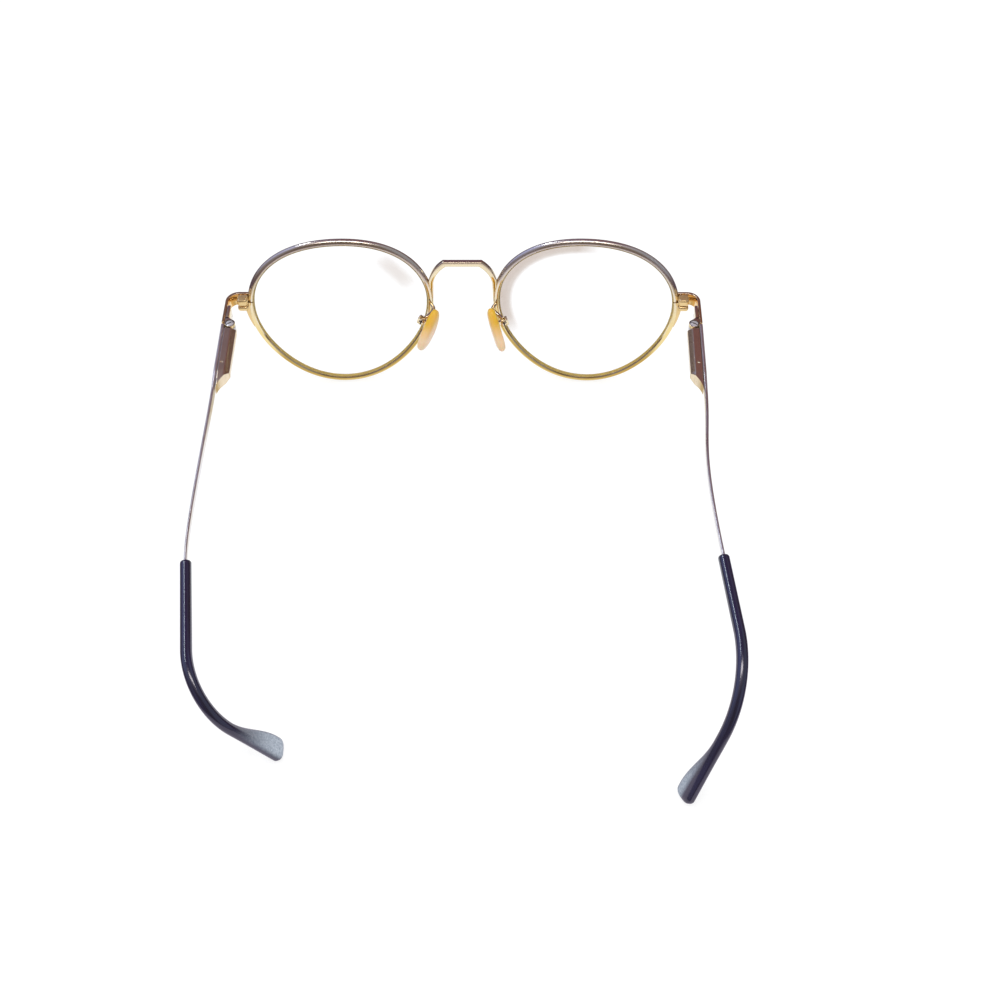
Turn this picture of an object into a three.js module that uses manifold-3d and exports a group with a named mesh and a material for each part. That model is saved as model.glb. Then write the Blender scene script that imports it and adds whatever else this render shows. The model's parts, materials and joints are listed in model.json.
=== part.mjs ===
// Round metal eyeglasses with spring hinges, standing open on a table.
// Millimetres, +Z up. The front faces -Y, the temples run back along +Y, and +X is the wearer's left.
// z = 0 is the table, x = 0 the plane between the eyes, and the lens centres lie in the plane y = 0.

import * as THREE from "three";
import { mergeVertices } from "three/addons/utils/BufferGeometryUtils.js";
import Module from "manifold-3d";

const wasm = await Module();
wasm.setup();

const degrees = Math.PI / 180;

// Rims and lenses
const rimHalfWidth = 24.5; // lens centre to the middle of the rim wire, sideways
const rimHalfHeight = 22.9; // the same, upwards
const pantoSwell = 0.0375; // share by which the top is flattened and the lower half filled out
const rimWidth = 1.6; // rim wire seen from the front
const rimDepth = 2.0; // rim wire from front to back
const rimLip = 0.3; // flat beside the lens groove's back and front edges
const grooveDepth = 0.5;
const grooveWidth = 1.0;
const noseGap = 16.7; // clear width between the two rims
const frontTilt = 7.6 * degrees; // the top of the front leans forward
const frontWrap = 3.75 * degrees; // each eye turns round the face
const lensEdge = 1.6; // lens thickness at its edge
const lensBevel = 0.8; // width of the edge bevel that sits in the groove
const lensFrontRadius = 120;
const lensBackRadius = 112;

// Bridge
const bridgeTopHalf = 5.25; // half the flat top
const bridgeTopHeight = 14.9; // top edge above the lens centres
const bridgeLegHeight = 8.8; // where the legs reach the rims
const bridgeLegBow = 0.7; // by which the legs bow out
const bridgeFootHeight = 2.2; // where the legs run out along the rims
const bridgeBar = 1.9; // bar seen from the front
const bridgeDepth = 1.3; // bar from front to back

// End pieces and the blocks that close the rims
const endPieceAngle = 9.65 * degrees; // place of the rim's joint, above the lens centre
const endPieceReach = 5.47; // rim to the outer face of the temple
const endPieceDepth = 12.1; // front face to the hinge axis
const endPieceBend = 3.5; // outer radius of the corner
const strapThickness = 0.8;
const upperBlock = 2.3; // height of the upper closing block
const lowerBlock = 1.7; // height of the lower closing block
const blockWidth = 2.5;
const blockDepth = 2.9;
const blockTail = 6.5; // the lower block's tail along the rim
const blockTailWidth = 0.9;
const blockTailTaper = 0.85; // share of its width that the tail loses
const blockTailThin = 0.5; // share of its depth that the tail loses
const rimSlitWidth = 0.3; // slit in the rim between the two blocks
const lockScrewRadius = 0.5;
const lockHeadRadius = 0.8;
const lockHeadHeight = 0.4;
const lockCap = 0.5; // metal above the lock screw's tip

// Hinges
const barrelRadius = 1.4;
const barrelHeight = 3.8;
const middleKnuckle = 1.3; // height of the tongue's knuckle
const leafLength = 6.8;
const leafThickness = 0.9;
const hingeScrewRadius = 0.6;
const hingeHeadRadius = 1.05;
const hingeHeadGap = 0.15; // round the head, in the knuckle
const hingeHeadHeight = 0.45;
const slotWidth = 0.4;
const slotDepth = 0.2;
const buttGap = 0.5; // end piece to temple, which lets the temple spring past open

// Spring units
const housingGap = 0.35; // barrel to the housing's front face
const housingLength = 16.0;
const housingRamp = 5.5;
const housingWidth = 3.1;
const housingHeight = 3.8;
const housingChamferWidth = 1.25; // seen from above
const housingChamferHeight = 1.0;
const springBore = 1.0;
const springBoreDepth = 12.0;
const rampEdge = 0.15; // what is left of the ramp where it ends
const rampHollow = 0.6; // share of the ramp over which it turns
const lockDimpleRadius = 0.4;
const lockDimpleDepth = 0.35;
const lockDimpleBack = 12.8; // dimple behind the housing's front face
const stemRadius = 0.5;
const stemLength = 9.0; // behind the housing's front face
const bushLength = 1.4;
const stopLength = 1.0;
const springWire = 0.3;
const springTurns = 6;

// Temples and tips
const templeToe = 0.85 * degrees; // the open temples lean in by this much
const templeThickness = 0.9;
const templeHeight = 4.0;
const shaftThickness = 0.8; // behind the spring housing
const shaftHeight = 2.4;
const templeLength = 78.1; // hinge axis to the mouth of the tip
const plateChamfer = 0.15;
const coreThickness = 0.7;
const coreHeight = 1.8;
const coreStop = 9.0; // core's end before the tip's end
const tipRadius = 1.38;
const tipLipRadius = 1.15; // at the rounded mouth
const tipLip = 0.5;
const tipEndRound = 1.6;
const tipEndFlat = 0.35; // share of the section that ends flat
const paddleHalfThickness = 1.25;
const paddleBreadth = 6.0;
const paddleLength = 17.0;
const paddleFlare = 14.5; // length over which the tip broadens
const paddleSquareness = 0.65; // power of the section's rounding, 1 for an oval

// Each temple as it is bent, seen on its own side: x outboard, y back, z up
const leftTemple = {
  name: "left",
  mirror: 1,
  mouthOffset: -0.1, // how far the mouth of the tip lies inboard of the strap
  mouthHeight: -0.8,
  shaftLead: 9, // length over which the shaft turns into the tip
  heading: new THREE.Vector3(-0.117, 1, -0.108),
  straightLength: 23.4,
  bendRadius: 16.0,
  bendAngle: 81 * degrees,
  bendLean: 37 * degrees, // the bend's plane leans inboard from upright
  tailLength: 16.4,
  padTurn: 25 * degrees, // the pad's face turns back from the nose
  padRock: 3 * degrees,
};
const rightTemple = {
  name: "right",
  mirror: -1,
  mouthOffset: -0.75,
  mouthHeight: 2.15,
  shaftLead: 32,
  heading: new THREE.Vector3(0.133, 1, -0.12),
  straightLength: 19.2,
  bendRadius: 24.5,
  bendAngle: 60 * degrees,
  bendLean: 31.5 * degrees,
  tailLength: 18.7,
  padTurn: 15 * degrees,
  padRock: -3 * degrees,
};

// Nose pads
const padLength = 15.0;
const padWidth = 7.4;
const padThickness = 2.5;
const padTaper = 0.2; // share by which the foot is broader than the top
const padSpacing = 18.3; // between the two pads' centres
const padBehind = 6.1; // pad centre behind the lens centres
const padDrop = 1.8; // pad centre below the lens centres
const padSplay = 14 * degrees;
const padLugHeight = 1.9; // pad screw above the pad's centre
const padLugReach = 1.3; // pad screw outboard of the pad's outer face
const lugWidth = 0.8;
const lugHeight = 1.2;
const lugTail = 0.6; // lug beyond the pad screw
const lugFootLength = 5.0;
const lugFootWidth = 3.0;
const lugFootThickness = 0.5;
const padScrewRadius = 0.3;
const padScrewHead = 0.8;
const padScrewHeadHeight = 0.5;
const boxCheek = 0.35;
const boxHeight = 2.0;
const boxFront = 0.6; // cheeks beyond the pad screw
const armRadius = 0.5;
const armAngle = 177 * degrees; // where the pad arm leaves the rim
const armBulge = 0.9; // towards the nose, from the rim
const armReach = 2.3; // the bulge behind the arm's start
const armTurn = 1.5; // where the arm turns to the pad box, in front of it

// Clearances
const solderGap = 0.06; // between pieces that are soldered or pressed together
const runningGap = 0.1; // between pieces that move on each other
const lensGap = 0.1;
const cutReach = 1.0; // by which a cutting shape reaches past what it cuts

// Facets
const rimSteps = 40;
const roundSides = 12;
const tipSides = 12;

const finishes = {
  gold: { color: 0xd3a84e, roughness: 0.25, metalness: 1 },
  paleGold: { color: 0xe0c590, roughness: 0.3, metalness: 1 },
  steel: { color: 0xb9b4b0, roughness: 0.3, metalness: 1 },
  lens: { color: 0xf4f6f8, roughness: 0.03, metalness: 0, transparent: true, opacity: 0.25 },
  pad: { color: 0xf0b98a, roughness: 0.35, metalness: 0, transparent: true, opacity: 0.8 },
  tip: { color: 0x1a1d3a, roughness: 0.2, metalness: 0 },
};

// Turns a closed geometry into a solid for joining and cutting.
function toSolid(geometry) {
  const bare = geometry.clone();
  bare.deleteAttribute("normal");
  bare.deleteAttribute("uv");
  const merged = mergeVertices(bare, 1e-4);
  const vertProperties = merged.attributes.position.array;
  const triVerts = new Uint32Array(merged.index.array);
  return new wasm.Manifold(new wasm.Mesh({ numProp: 3, vertProperties, triVerts }));
}

function toGeometry(solid) {
  const mesh = solid.getMesh();
  const geometry = new THREE.BufferGeometry();
  geometry.setAttribute("position", new THREE.BufferAttribute(mesh.vertProperties, 3));
  geometry.setIndex(new THREE.BufferAttribute(mesh.triVerts, 1));
  return geometry;
}

function join(...geometries) {
  return toGeometry(geometries.map(toSolid).reduce((sum, solid) => sum.add(solid)));
}

function cut(geometry, ...cutters) {
  return toGeometry(cutters.map(toSolid).reduce((rest, solid) => rest.subtract(solid), toSolid(geometry)));
}

// Joins matching rings of points into a closed skin. Rings run anticlockwise about the way they
// follow each other. Each end of an open row is closed by a fan around a middle point.
function loft(rings, { closed = false, startPoint = null, endPoint = null } = {}) {
  const sides = rings[0].length;
  const points = rings.flat();
  const faces = [];
  const rows = closed ? rings.length : rings.length - 1;
  for (let row = 0; row < rows; row++) {
    const here = row * sides;
    const next = ((row + 1) % rings.length) * sides;
    for (let i = 0; i < sides; i++) {
      const j = (i + 1) % sides;
      faces.push(here + i, here + j, next + j, here + i, next + j, next + i);
    }
  }
  if (!closed) {
    const last = (rings.length - 1) * sides;
    points.push(startPoint ?? middleOf(rings[0]), endPoint ?? middleOf(rings.at(-1)));
    for (let i = 0; i < sides; i++) {
      const j = (i + 1) % sides;
      faces.push(points.length - 2, j, i, points.length - 1, last + i, last + j);
    }
  }
  const geometry = new THREE.BufferGeometry().setFromPoints(points);
  geometry.setIndex(faces);
  return geometry;
}

function middleOf(points) {
  return points.reduce((sum, point) => sum.add(point), new THREE.Vector3()).divideScalar(points.length);
}

function box(low, high) {
  const size = new THREE.Vector3().subVectors(high, low);
  const middle = new THREE.Vector3().addVectors(low, high).multiplyScalar(0.5);
  return new THREE.BoxGeometry(size.x, size.y, size.z).translate(middle.x, middle.y, middle.z);
}

// A round bar from one point to another.
function bar(start, end, radius, sides = roundSides) {
  const along = new THREE.Vector3().subVectors(end, start);
  const cylinderAxis = new THREE.Vector3(0, 1, 0);
  const turn = new THREE.Quaternion().setFromUnitVectors(cylinderAxis, along.clone().normalize());
  const middle = new THREE.Vector3().addVectors(start, end).multiplyScalar(0.5);
  const geometry = new THREE.CylinderGeometry(radius, radius, along.length(), sides);
  return geometry.applyQuaternion(turn).translate(middle.x, middle.y, middle.z);
}

// A slotted screw whose head's top lies at the start point.
function slottedScrew(headTop, tip, shaftRadius, headRadius, headHeight, slotAlong) {
  const along = new THREE.Vector3().subVectors(tip, headTop).normalize();
  const headEnd = headTop.clone().addScaledVector(along, headHeight);
  const shaftStart = headTop.clone().lerp(headEnd, 0.5);
  const screw = join(bar(headTop, headEnd, headRadius), bar(shaftStart, tip, shaftRadius));
  const slot = new THREE.BoxGeometry(4 * headRadius, slotWidth, 2 * slotDepth);
  const across = new THREE.Vector3().crossVectors(along, slotAlong).normalize();
  const basis = new THREE.Matrix4().makeBasis(new THREE.Vector3().crossVectors(across, along), across, along);
  return cut(screw, slot.applyMatrix4(basis.setPosition(headTop)));
}

// Lens frame of the left eye: u outboard, v up and w forward, measured from the lens centre
const rimReach = rimHalfWidth + rimWidth / 2;
const lensCentre = new THREE.Vector3(
  noseGap / 2 + rimReach * Math.cos(frontWrap),
  0,
  (rimHalfHeight * (1 + pantoSwell) + rimWidth / 2) * Math.cos(frontTilt),
);
const lensOut = new THREE.Vector3(
  Math.cos(frontWrap),
  Math.sin(frontWrap) * Math.cos(frontTilt),
  Math.sin(frontWrap) * Math.sin(frontTilt),
);
const lensUp = new THREE.Vector3(0, -Math.sin(frontTilt), Math.cos(frontTilt));
const lensForward = new THREE.Vector3().crossVectors(lensOut, lensUp);
const lensFrame = new THREE.Matrix4().makeBasis(lensOut, lensUp, lensForward).setPosition(lensCentre);

// A point on the rim's middle line in the lens frame. The angle runs from outboard through the top.
function rimLine(angle) {
  const ellipse = 1 / Math.hypot(Math.cos(angle) / rimHalfWidth, Math.sin(angle) / rimHalfHeight);
  const radius = ellipse * (1 + pantoSwell * Math.sin(3 * angle));
  return new THREE.Vector3(radius * Math.cos(angle), radius * Math.sin(angle), 0);
}

// The same point moved square to the rim, away from the lens, and forward.
function rimPoint(angle, outward, forward) {
  const step = 0.01;
  const along = new THREE.Vector3().subVectors(rimLine(angle + step), rimLine(angle - step)).normalize();
  const point = rimLine(angle);
  return new THREE.Vector3(point.x + along.y * outward, point.y - along.x * outward, forward);
}

function rimWorld(angle, outward, forward) {
  return rimPoint(angle, outward, forward).applyMatrix4(lensFrame);
}

// Rim wire: a half-round outside, two flat lips and a vee groove for the lens.
function rimSection() {
  const half = rimDepth / 2;
  const inner = -rimWidth / 2;
  const arcSteps = 6;
  const outline = [];
  for (let i = 0; i <= arcSteps; i++) {
    const turn = (i / arcSteps - 0.5) * Math.PI;
    outline.push([(rimWidth - rimLip) * Math.cos(turn) + inner + rimLip, half * Math.sin(turn)]);
  }
  outline.push([inner, half - rimLip / 2], [inner, grooveWidth / 2], [inner + grooveDepth, 0]);
  outline.push([inner, -grooveWidth / 2], [inner, -half + rimLip / 2]);
  return outline;
}

function rim() {
  const section = rimSection();
  const slit = rimSlitWidth / rimHalfWidth;
  const rings = [];
  for (let step = 0; step <= rimSteps; step++) {
    const angle = endPieceAngle + slit / 2 + (step / rimSteps) * (2 * Math.PI - slit);
    rings.push(section.map(([outward, back]) => rimWorld(angle, outward, -back)));
  }
  return loft(rings);
}

// The space that the rim and its solder take, which the pieces soldered to it are cut back from.
function rimSpace(mirror = 1) {
  const half = rimDepth / 2 + solderGap;
  const outer = rimWidth / 2 + solderGap;
  const outline = [
    [-3 * rimWidth, -half],
    [-rimWidth / 4, -half],
    [outer - rimWidth / 8, -half * 0.6],
    [outer, 0],
    [outer - rimWidth / 8, half * 0.6],
    [-rimWidth / 4, half],
    [-3 * rimWidth, half],
  ];
  const rings = [];
  for (let step = 0; step < rimSteps; step++) {
    const angle = endPieceAngle + (step / rimSteps) * 2 * Math.PI;
    const ring = outline.map(([outward, back]) => rimWorld(angle, outward, -back));
    for (const point of ring) point.x *= mirror;
    rings.push(mirror < 0 ? ring.reverse() : ring);
  }
  return loft(rings, { closed: true });
}

// A meniscus lens whose edge bevel sits in the rim's groove.
function lens() {
  const edge = -rimWidth / 2 - lensGap;
  const apex = -rimWidth / 2 + grooveDepth - lensGap;
  const half = lensEdge / 2;
  const partWay = 0.55;
  const ring = (outward, share, forward) => {
    const points = [];
    for (let step = 0; step < rimSteps; step++) {
      const angle = endPieceAngle + (step / rimSteps) * 2 * Math.PI;
      const point = rimPoint(angle, outward, 0).multiplyScalar(share).setZ(forward);
      points.push(point.applyMatrix4(lensFrame));
    }
    return points;
  };
  const rise = (share, radius) => ((1 - share * share) * rimHalfWidth * rimHalfWidth) / (2 * radius);
  const middle = (forward) => new THREE.Vector3(0, 0, forward).applyMatrix4(lensFrame);
  const rings = [
    ring(edge, partWay, rise(partWay, lensBackRadius) - half),
    ring(edge, 1, -half),
    ring(edge, 1, -lensBevel / 2),
    ring(apex, 1, 0),
    ring(edge, 1, lensBevel / 2),
    ring(edge, 1, half),
    ring(edge, partWay, half + rise(partWay, lensFrontRadius)),
  ];
  return loft(rings, {
    startPoint: middle(rise(0, lensBackRadius) - half),
    endPoint: middle(half + rise(0, lensFrontRadius)),
  });
}

// Places that the end piece, hinge and temple share
const jointPoint = rimWorld(endPieceAngle, rimWidth / 2, 0);
const strapFront = jointPoint.y - rimDepth / 2;
const strapTop = jointPoint.z + upperBlock;
const strapBottom = jointPoint.z - lowerBlock;
const outerFace = jointPoint.x + endPieceReach;
const hinge = new THREE.Vector3(
  outerFace - strapThickness - solderGap - barrelRadius,
  strapFront + endPieceDepth,
  (strapTop + strapBottom) / 2,
);
const barrelTop = hinge.z + barrelHeight / 2;
const barrelBottom = hinge.z - barrelHeight / 2;
const strapInner = outerFace - strapThickness;
const templeInner = outerFace - templeThickness;
const housingFront = hinge.y + barrelRadius + housingGap;

function onHinge(z) {
  return new THREE.Vector3(hinge.x, hinge.y, z);
}

function onStem(y) {
  return new THREE.Vector3(hinge.x, y, hinge.z);
}

function upright(shape, bottom, top, curveSegments = 6) {
  const options = { depth: top - bottom, bevelEnabled: false, curveSegments };
  const geometry = new THREE.ExtrudeGeometry(shape, options);
  return geometry.translate(0, 0, bottom);
}

// The end piece is a flat strap, bent back at the corner of the front.
function endPiece() {
  const bendY = strapFront + endPieceBend;
  const bendX = outerFace - endPieceBend;
  const start = jointPoint.x - rimWidth;
  const strap = new THREE.Shape();
  strap.moveTo(start, strapFront);
  strap.lineTo(bendX, strapFront);
  strap.absarc(bendX, bendY, endPieceBend, -Math.PI / 2, 0, false);
  strap.lineTo(outerFace, hinge.y - buttGap / 2);
  strap.lineTo(strapInner, hinge.y - buttGap / 2);
  strap.lineTo(strapInner, bendY);
  strap.absarc(bendX, bendY, endPieceBend - strapThickness, 0, -Math.PI / 2, true);
  strap.lineTo(start, strapFront + strapThickness);
  return cut(upright(strap, strapBottom, strapTop), rimSpace());
}

// The rim's two ends are soldered to two blocks, which the lock screw draws together.
const blockFront = strapFront + strapThickness + solderGap;
const lockAxis = new THREE.Vector3(jointPoint.x + blockWidth / 2, blockFront + blockDepth / 2, jointPoint.z);

function onLock(z) {
  return new THREE.Vector3(lockAxis.x, lockAxis.y, z);
}

function closingBlock(bottom, top) {
  const low = new THREE.Vector3(jointPoint.x - rimWidth / 4, blockFront, bottom);
  const high = new THREE.Vector3(jointPoint.x + blockWidth, blockFront + blockDepth, top);
  return box(low, high);
}

function lockUpper() {
  const bottom = jointPoint.z + rimSlitWidth / 2;
  const hole = bar(onLock(bottom - cutReach), onLock(strapTop - lockCap), lockScrewRadius + solderGap);
  return cut(closingBlock(bottom, strapTop), rimSpace(), hole);
}

function lockLower() {
  const top = jointPoint.z - rimSlitWidth / 2;
  const sections = 5;
  const rings = [];
  for (let i = 0; i <= sections; i++) {
    const along = (i / sections) * (blockTail + lowerBlock);
    const angle = endPieceAngle - (rimSlitWidth / 2 + along) / rimHalfWidth;
    const width = blockTailWidth * (1 - (blockTailTaper * i) / sections);
    const half = (rimDepth / 2) * (1 - (blockTailThin * i) / sections);
    const corners = [
      [-rimWidth / 2, -half],
      [rimWidth / 2 + width, -half],
      [rimWidth / 2 + width, half],
      [-rimWidth / 2, half],
    ];
    rings.push(corners.map(([outward, forward]) => rimWorld(angle, outward, forward)));
  }
  const strapSpace = box(
    new THREE.Vector3(jointPoint.x - rimWidth, strapFront - rimDepth, strapBottom - solderGap),
    new THREE.Vector3(outerFace, blockFront, top + rimDepth),
  );
  const hole = bar(onLock(strapBottom - cutReach), onLock(top + cutReach), lockScrewRadius + solderGap);
  const headSeat = onLock(strapBottom + lockHeadHeight);
  const headRoom = bar(onLock(strapBottom - cutReach), headSeat, lockHeadRadius + solderGap);
  const block = join(closingBlock(strapBottom, top), loft(rings));
  return cut(block, rimSpace(), strapSpace, hole, headRoom);
}

function lockScrew() {
  const headTop = onLock(strapBottom + solderGap);
  const tip = onLock(strapTop - lockCap - solderGap);
  const headHeight = lockHeadHeight - 2 * solderGap;
  const slotAlong = new THREE.Vector3(1, 0, 0);
  return slottedScrew(headTop, tip, lockScrewRadius, lockHeadRadius, headHeight, slotAlong);
}

// Two knuckles on a leaf that is soldered inside the strap.
function frontHinge() {
  const leafFace = strapInner - solderGap;
  const leaf = new THREE.Shape();
  leaf.moveTo(leafFace, hinge.y);
  leaf.lineTo(hinge.x, hinge.y);
  leaf.lineTo(leafFace - leafThickness, hinge.y - barrelRadius);
  leaf.lineTo(leafFace - leafThickness, hinge.y - leafLength + leafThickness / 2);
  leaf.lineTo(leafFace - leafThickness / 2, hinge.y - leafLength);
  leaf.lineTo(leafFace, hinge.y - leafLength);
  const barrel = bar(onHinge(barrelBottom), onHinge(barrelTop), barrelRadius);
  const half = middleKnuckle / 2 + runningGap;
  const middle = bar(onHinge(hinge.z - half), onHinge(hinge.z + half), barrelRadius + 2 * runningGap);
  const holeStart = onHinge(barrelBottom - cutReach);
  const holeEnd = onHinge(barrelTop + cutReach);
  const hole = bar(holeStart, holeEnd, hingeScrewRadius + solderGap);
  const headSeat = barrelTop - hingeHeadHeight - solderGap;
  const headRoom = bar(onHinge(headSeat), holeEnd, hingeHeadRadius + hingeHeadGap);
  return cut(join(upright(leaf, barrelBottom, barrelTop), barrel), middle, hole, headRoom);
}

function hingeScrew() {
  const slotAlong = new THREE.Vector3(1, 0.6, 0);
  return slottedScrew(
    onHinge(barrelTop), onHinge(barrelBottom), hingeScrewRadius, hingeHeadRadius, hingeHeadHeight, slotAlong,
  );
}

// The tongue carries the middle knuckle, and its stem slides in the temple's housing.
function hingeTongue() {
  const half = middleKnuckle / 2;
  const knuckle = bar(onHinge(hinge.z - half), onHinge(hinge.z + half), barrelRadius);
  const stem = bar(onStem(hinge.y + barrelRadius / 2), onStem(housingFront + stemLength), stemRadius);
  const holeHalf = half + cutReach;
  const hole = bar(
    onHinge(hinge.z - holeHalf), onHinge(hinge.z + holeHalf), hingeScrewRadius + runningGap,
  );
  return cut(join(knuckle, stem), hole);
}

const bushBack = housingFront + solderGap + bushLength;
const stopFront = housingFront + stemLength - stopLength;

function springBush() {
  const outside = bar(onStem(housingFront + solderGap), onStem(bushBack), springBore - solderGap);
  const bore = bar(onStem(housingFront - cutReach), onStem(bushBack + cutReach), stemRadius + runningGap);
  return cut(outside, bore);
}

function springStop() {
  const back = housingFront + stemLength;
  const outside = bar(onStem(stopFront), onStem(back), springBore - 2 * runningGap);
  const bore = bar(onStem(stopFront - cutReach), onStem(back + cutReach), stemRadius + solderGap);
  return cut(outside, bore);
}

// A compression spring round the stem, between the bush and the stop.
function spring() {
  const wire = springWire / 2;
  const coil = (stemRadius + springBore) / 2;
  const start = bushBack + wire + solderGap;
  const length = stopFront - wire - solderGap - start;
  const steps = springTurns * 8;
  const sides = 5;
  const slope = length / (2 * Math.PI * springTurns * coil);
  const rings = [];
  for (let step = 0; step <= steps; step++) {
    const turn = (step / steps) * 2 * Math.PI * springTurns;
    const outward = new THREE.Vector3(Math.cos(turn), 0, -Math.sin(turn));
    const along = new THREE.Vector3(-Math.sin(turn), slope, -Math.cos(turn)).normalize();
    const across = new THREE.Vector3().crossVectors(along, outward);
    const middle = onStem(start + (step / steps) * length).addScaledVector(outward, coil);
    const ring = [];
    for (let i = 0; i < sides; i++) {
      const angle = (i / sides) * 2 * Math.PI;
      const point = middle.clone().addScaledVector(outward, wire * Math.cos(angle));
      ring.push(point.addScaledVector(across, wire * Math.sin(angle)));
    }
    rings.push(ring);
  }
  return loft(rings);
}

// The housing is soldered inside the temple. Its inboard edges are chamfered and its back runs out
// to the temple in a hollow ramp.
function springHousing() {
  const outer = templeInner - solderGap;
  const inner = outer - housingWidth;
  const half = housingHeight / 2;
  const back = housingFront + housingLength;
  const section = (y, height) => {
    const z = height / 2;
    const share = height / housingHeight;
    const across = housingChamferWidth * share;
    const down = housingChamferHeight * share;
    const outline = [
      [inner + across, z],
      [outer, z],
      [outer, -z],
      [inner + across, -z],
      [inner, down - z],
      [inner, z - down],
    ];
    return outline.map(([x, up]) => new THREE.Vector3(x, y, hinge.z + up));
  };
  const block = loft([
    section(housingFront, housingHeight),
    section(back, housingHeight),
    section(back + housingRamp, shaftHeight),
  ]);
  const rampEnd = outer - rampEdge;
  const ramp = new THREE.Shape();
  ramp.moveTo(inner - cutReach, back);
  ramp.lineTo(inner, back);
  ramp.quadraticCurveTo(rampEnd, back + rampHollow * housingRamp, rampEnd, back + housingRamp);
  ramp.lineTo(rampEnd, back + housingRamp + cutReach);
  ramp.lineTo(inner - cutReach, back + housingRamp + cutReach);
  const bore = bar(onStem(housingFront - cutReach), onStem(housingFront + springBoreDepth), springBore);
  const topMiddle = (inner + housingChamferWidth + outer) / 2;
  const dimple = new THREE.Vector3(topMiddle, housingFront + lockDimpleBack, hinge.z + half);
  const dimpleRoom = new THREE.SphereGeometry(lockDimpleRadius, roundSides, roundSides / 2)
    .scale(1, 1, lockDimpleDepth / lockDimpleRadius)
    .translate(dimple.x, dimple.y, dimple.z);
  return cut(block, upright(ramp, hinge.z - 2 * half, hinge.z + 2 * half), bore, dimpleRoom);
}

// A ring of a swept piece: an outline of [inboard, up] pairs, square to the station's way.
function ringAt(station, outline) {
  const inboard = new THREE.Vector3().crossVectors(station.up, station.along);
  return outline.map(([across, up]) =>
    station.point.clone().addScaledVector(inboard, across).addScaledVector(station.up, up),
  );
}

function plateOutline(thickness, height) {
  const x = thickness / 2;
  const y = height / 2;
  const c = plateChamfer;
  return [
    [x, c - y], [x, y - c], [x - c, y], [c - x, y],
    [-x, y - c], [-x, c - y], [c - x, -y], [x - c, -y],
  ];
}

const templeStart = new THREE.Vector3(outerFace - templeThickness / 2, hinge.y + buttGap / 2, hinge.z);

function tipMouth(temple) {
  return new THREE.Vector3(
    templeStart.x - temple.mouthOffset,
    hinge.y + templeLength,
    hinge.z + temple.mouthHeight,
  );
}

function tipLength(temple) {
  return temple.straightLength + temple.bendRadius * temple.bendAngle + temple.tailLength;
}

// The tip's middle line at a distance from its mouth: straight, then a bend down and inboard, then
// straight again. Up turns with the bend, so that it points away from the bend's centre.
function tipAt(temple, distance) {
  const heading = temple.heading.clone().normalize();
  const fall = new THREE.Vector3(-Math.sin(temple.bendLean), 0, -Math.cos(temple.bendLean));
  fall.addScaledVector(heading, -fall.dot(heading)).normalize();
  const level = new THREE.Vector3(0, 0, 1).addScaledVector(heading, -heading.z).normalize();
  const turned = (distance - temple.straightLength) / temple.bendRadius;
  const bend = THREE.MathUtils.clamp(turned, 0, temple.bendAngle);
  const twist = THREE.MathUtils.clamp(distance / temple.straightLength, 0, 1);
  const along = heading.clone().multiplyScalar(Math.cos(bend)).addScaledVector(fall, Math.sin(bend));
  const up = heading.clone().multiplyScalar(Math.sin(bend)).addScaledVector(fall, -Math.cos(bend));
  if (twist < 1) up.multiplyScalar(twist).addScaledVector(level, 1 - twist).normalize();
  const tail = Math.max(0, distance - temple.straightLength - temple.bendRadius * temple.bendAngle);
  const point = tipMouth(temple)
    .addScaledVector(heading, Math.min(distance, temple.straightLength) + temple.bendRadius * Math.sin(bend))
    .addScaledVector(fall, temple.bendRadius * (1 - Math.cos(bend)))
    .addScaledVector(along, tail);
  return { point, along, up };
}

// Distances from the tip's mouth at which its sections lie.
function tipMarks(temple) {
  const bendSteps = 8;
  const tailSteps = 5;
  const endShare = 2 / 3;
  const bendLength = temple.bendRadius * temple.bendAngle;
  const tailEnd = tipLength(temple) - tipEndRound;
  const marks = [0, tipLip, temple.straightLength / 2];
  for (let i = 0; i <= bendSteps; i++) marks.push(temple.straightLength + (bendLength * i) / bendSteps);
  const tailStart = marks.at(-1);
  for (let i = 1; i <= tailSteps; i++) marks.push(THREE.MathUtils.lerp(tailStart, tailEnd, i / tailSteps));
  marks.push(tailEnd + endShare * tipEndRound, tipLength(temple));
  return marks;
}

// The temple is a flat strap by the hinge, which tapers to the core that runs on inside the tip.
function templeBar(temple) {
  const strapEnd = templeStart.clone().setY(housingFront + housingLength);
  const shaftStart = strapEnd.clone().setY(strapEnd.y + housingRamp);
  shaftStart.x -= (shaftThickness - templeThickness) / 2;
  const heading = temple.heading.clone().normalize();
  const mouth = tipMouth(temple);
  const shaftLength = mouth.y - shaftStart.y;
  const shaft = new THREE.CubicBezierCurve3(
    shaftStart,
    shaftStart.clone().setY(shaftStart.y + shaftLength / 3),
    mouth.clone().addScaledVector(heading, -temple.shaftLead),
    mouth,
  );
  const back = new THREE.Vector3(0, 1, 0);
  const level = new THREE.Vector3(0, 0, 1);
  const strap = plateOutline(templeThickness, templeHeight);
  const rings = [templeStart, strapEnd].map((point) => ringAt({ point, along: back, up: level }, strap));
  const shaftSteps = 10;
  for (let i = 0; i < shaftSteps; i++) {
    const share = i / shaftSteps;
    const along = shaft.getTangent(share);
    const up = level.clone().addScaledVector(along, -along.z).normalize();
    const thickness = THREE.MathUtils.lerp(shaftThickness, coreThickness, share);
    const height = THREE.MathUtils.lerp(shaftHeight, coreHeight, share);
    rings.push(ringAt({ point: shaft.getPoint(share), along, up }, plateOutline(thickness, height)));
  }
  const core = plateOutline(coreThickness, coreHeight);
  const coreEnd = tipLength(temple) - coreStop;
  const marks = tipMarks(temple).filter((mark) => mark < coreEnd);
  for (const mark of [...marks, coreEnd]) rings.push(ringAt(tipAt(temple, mark), core));
  return loft(rings);
}

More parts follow.
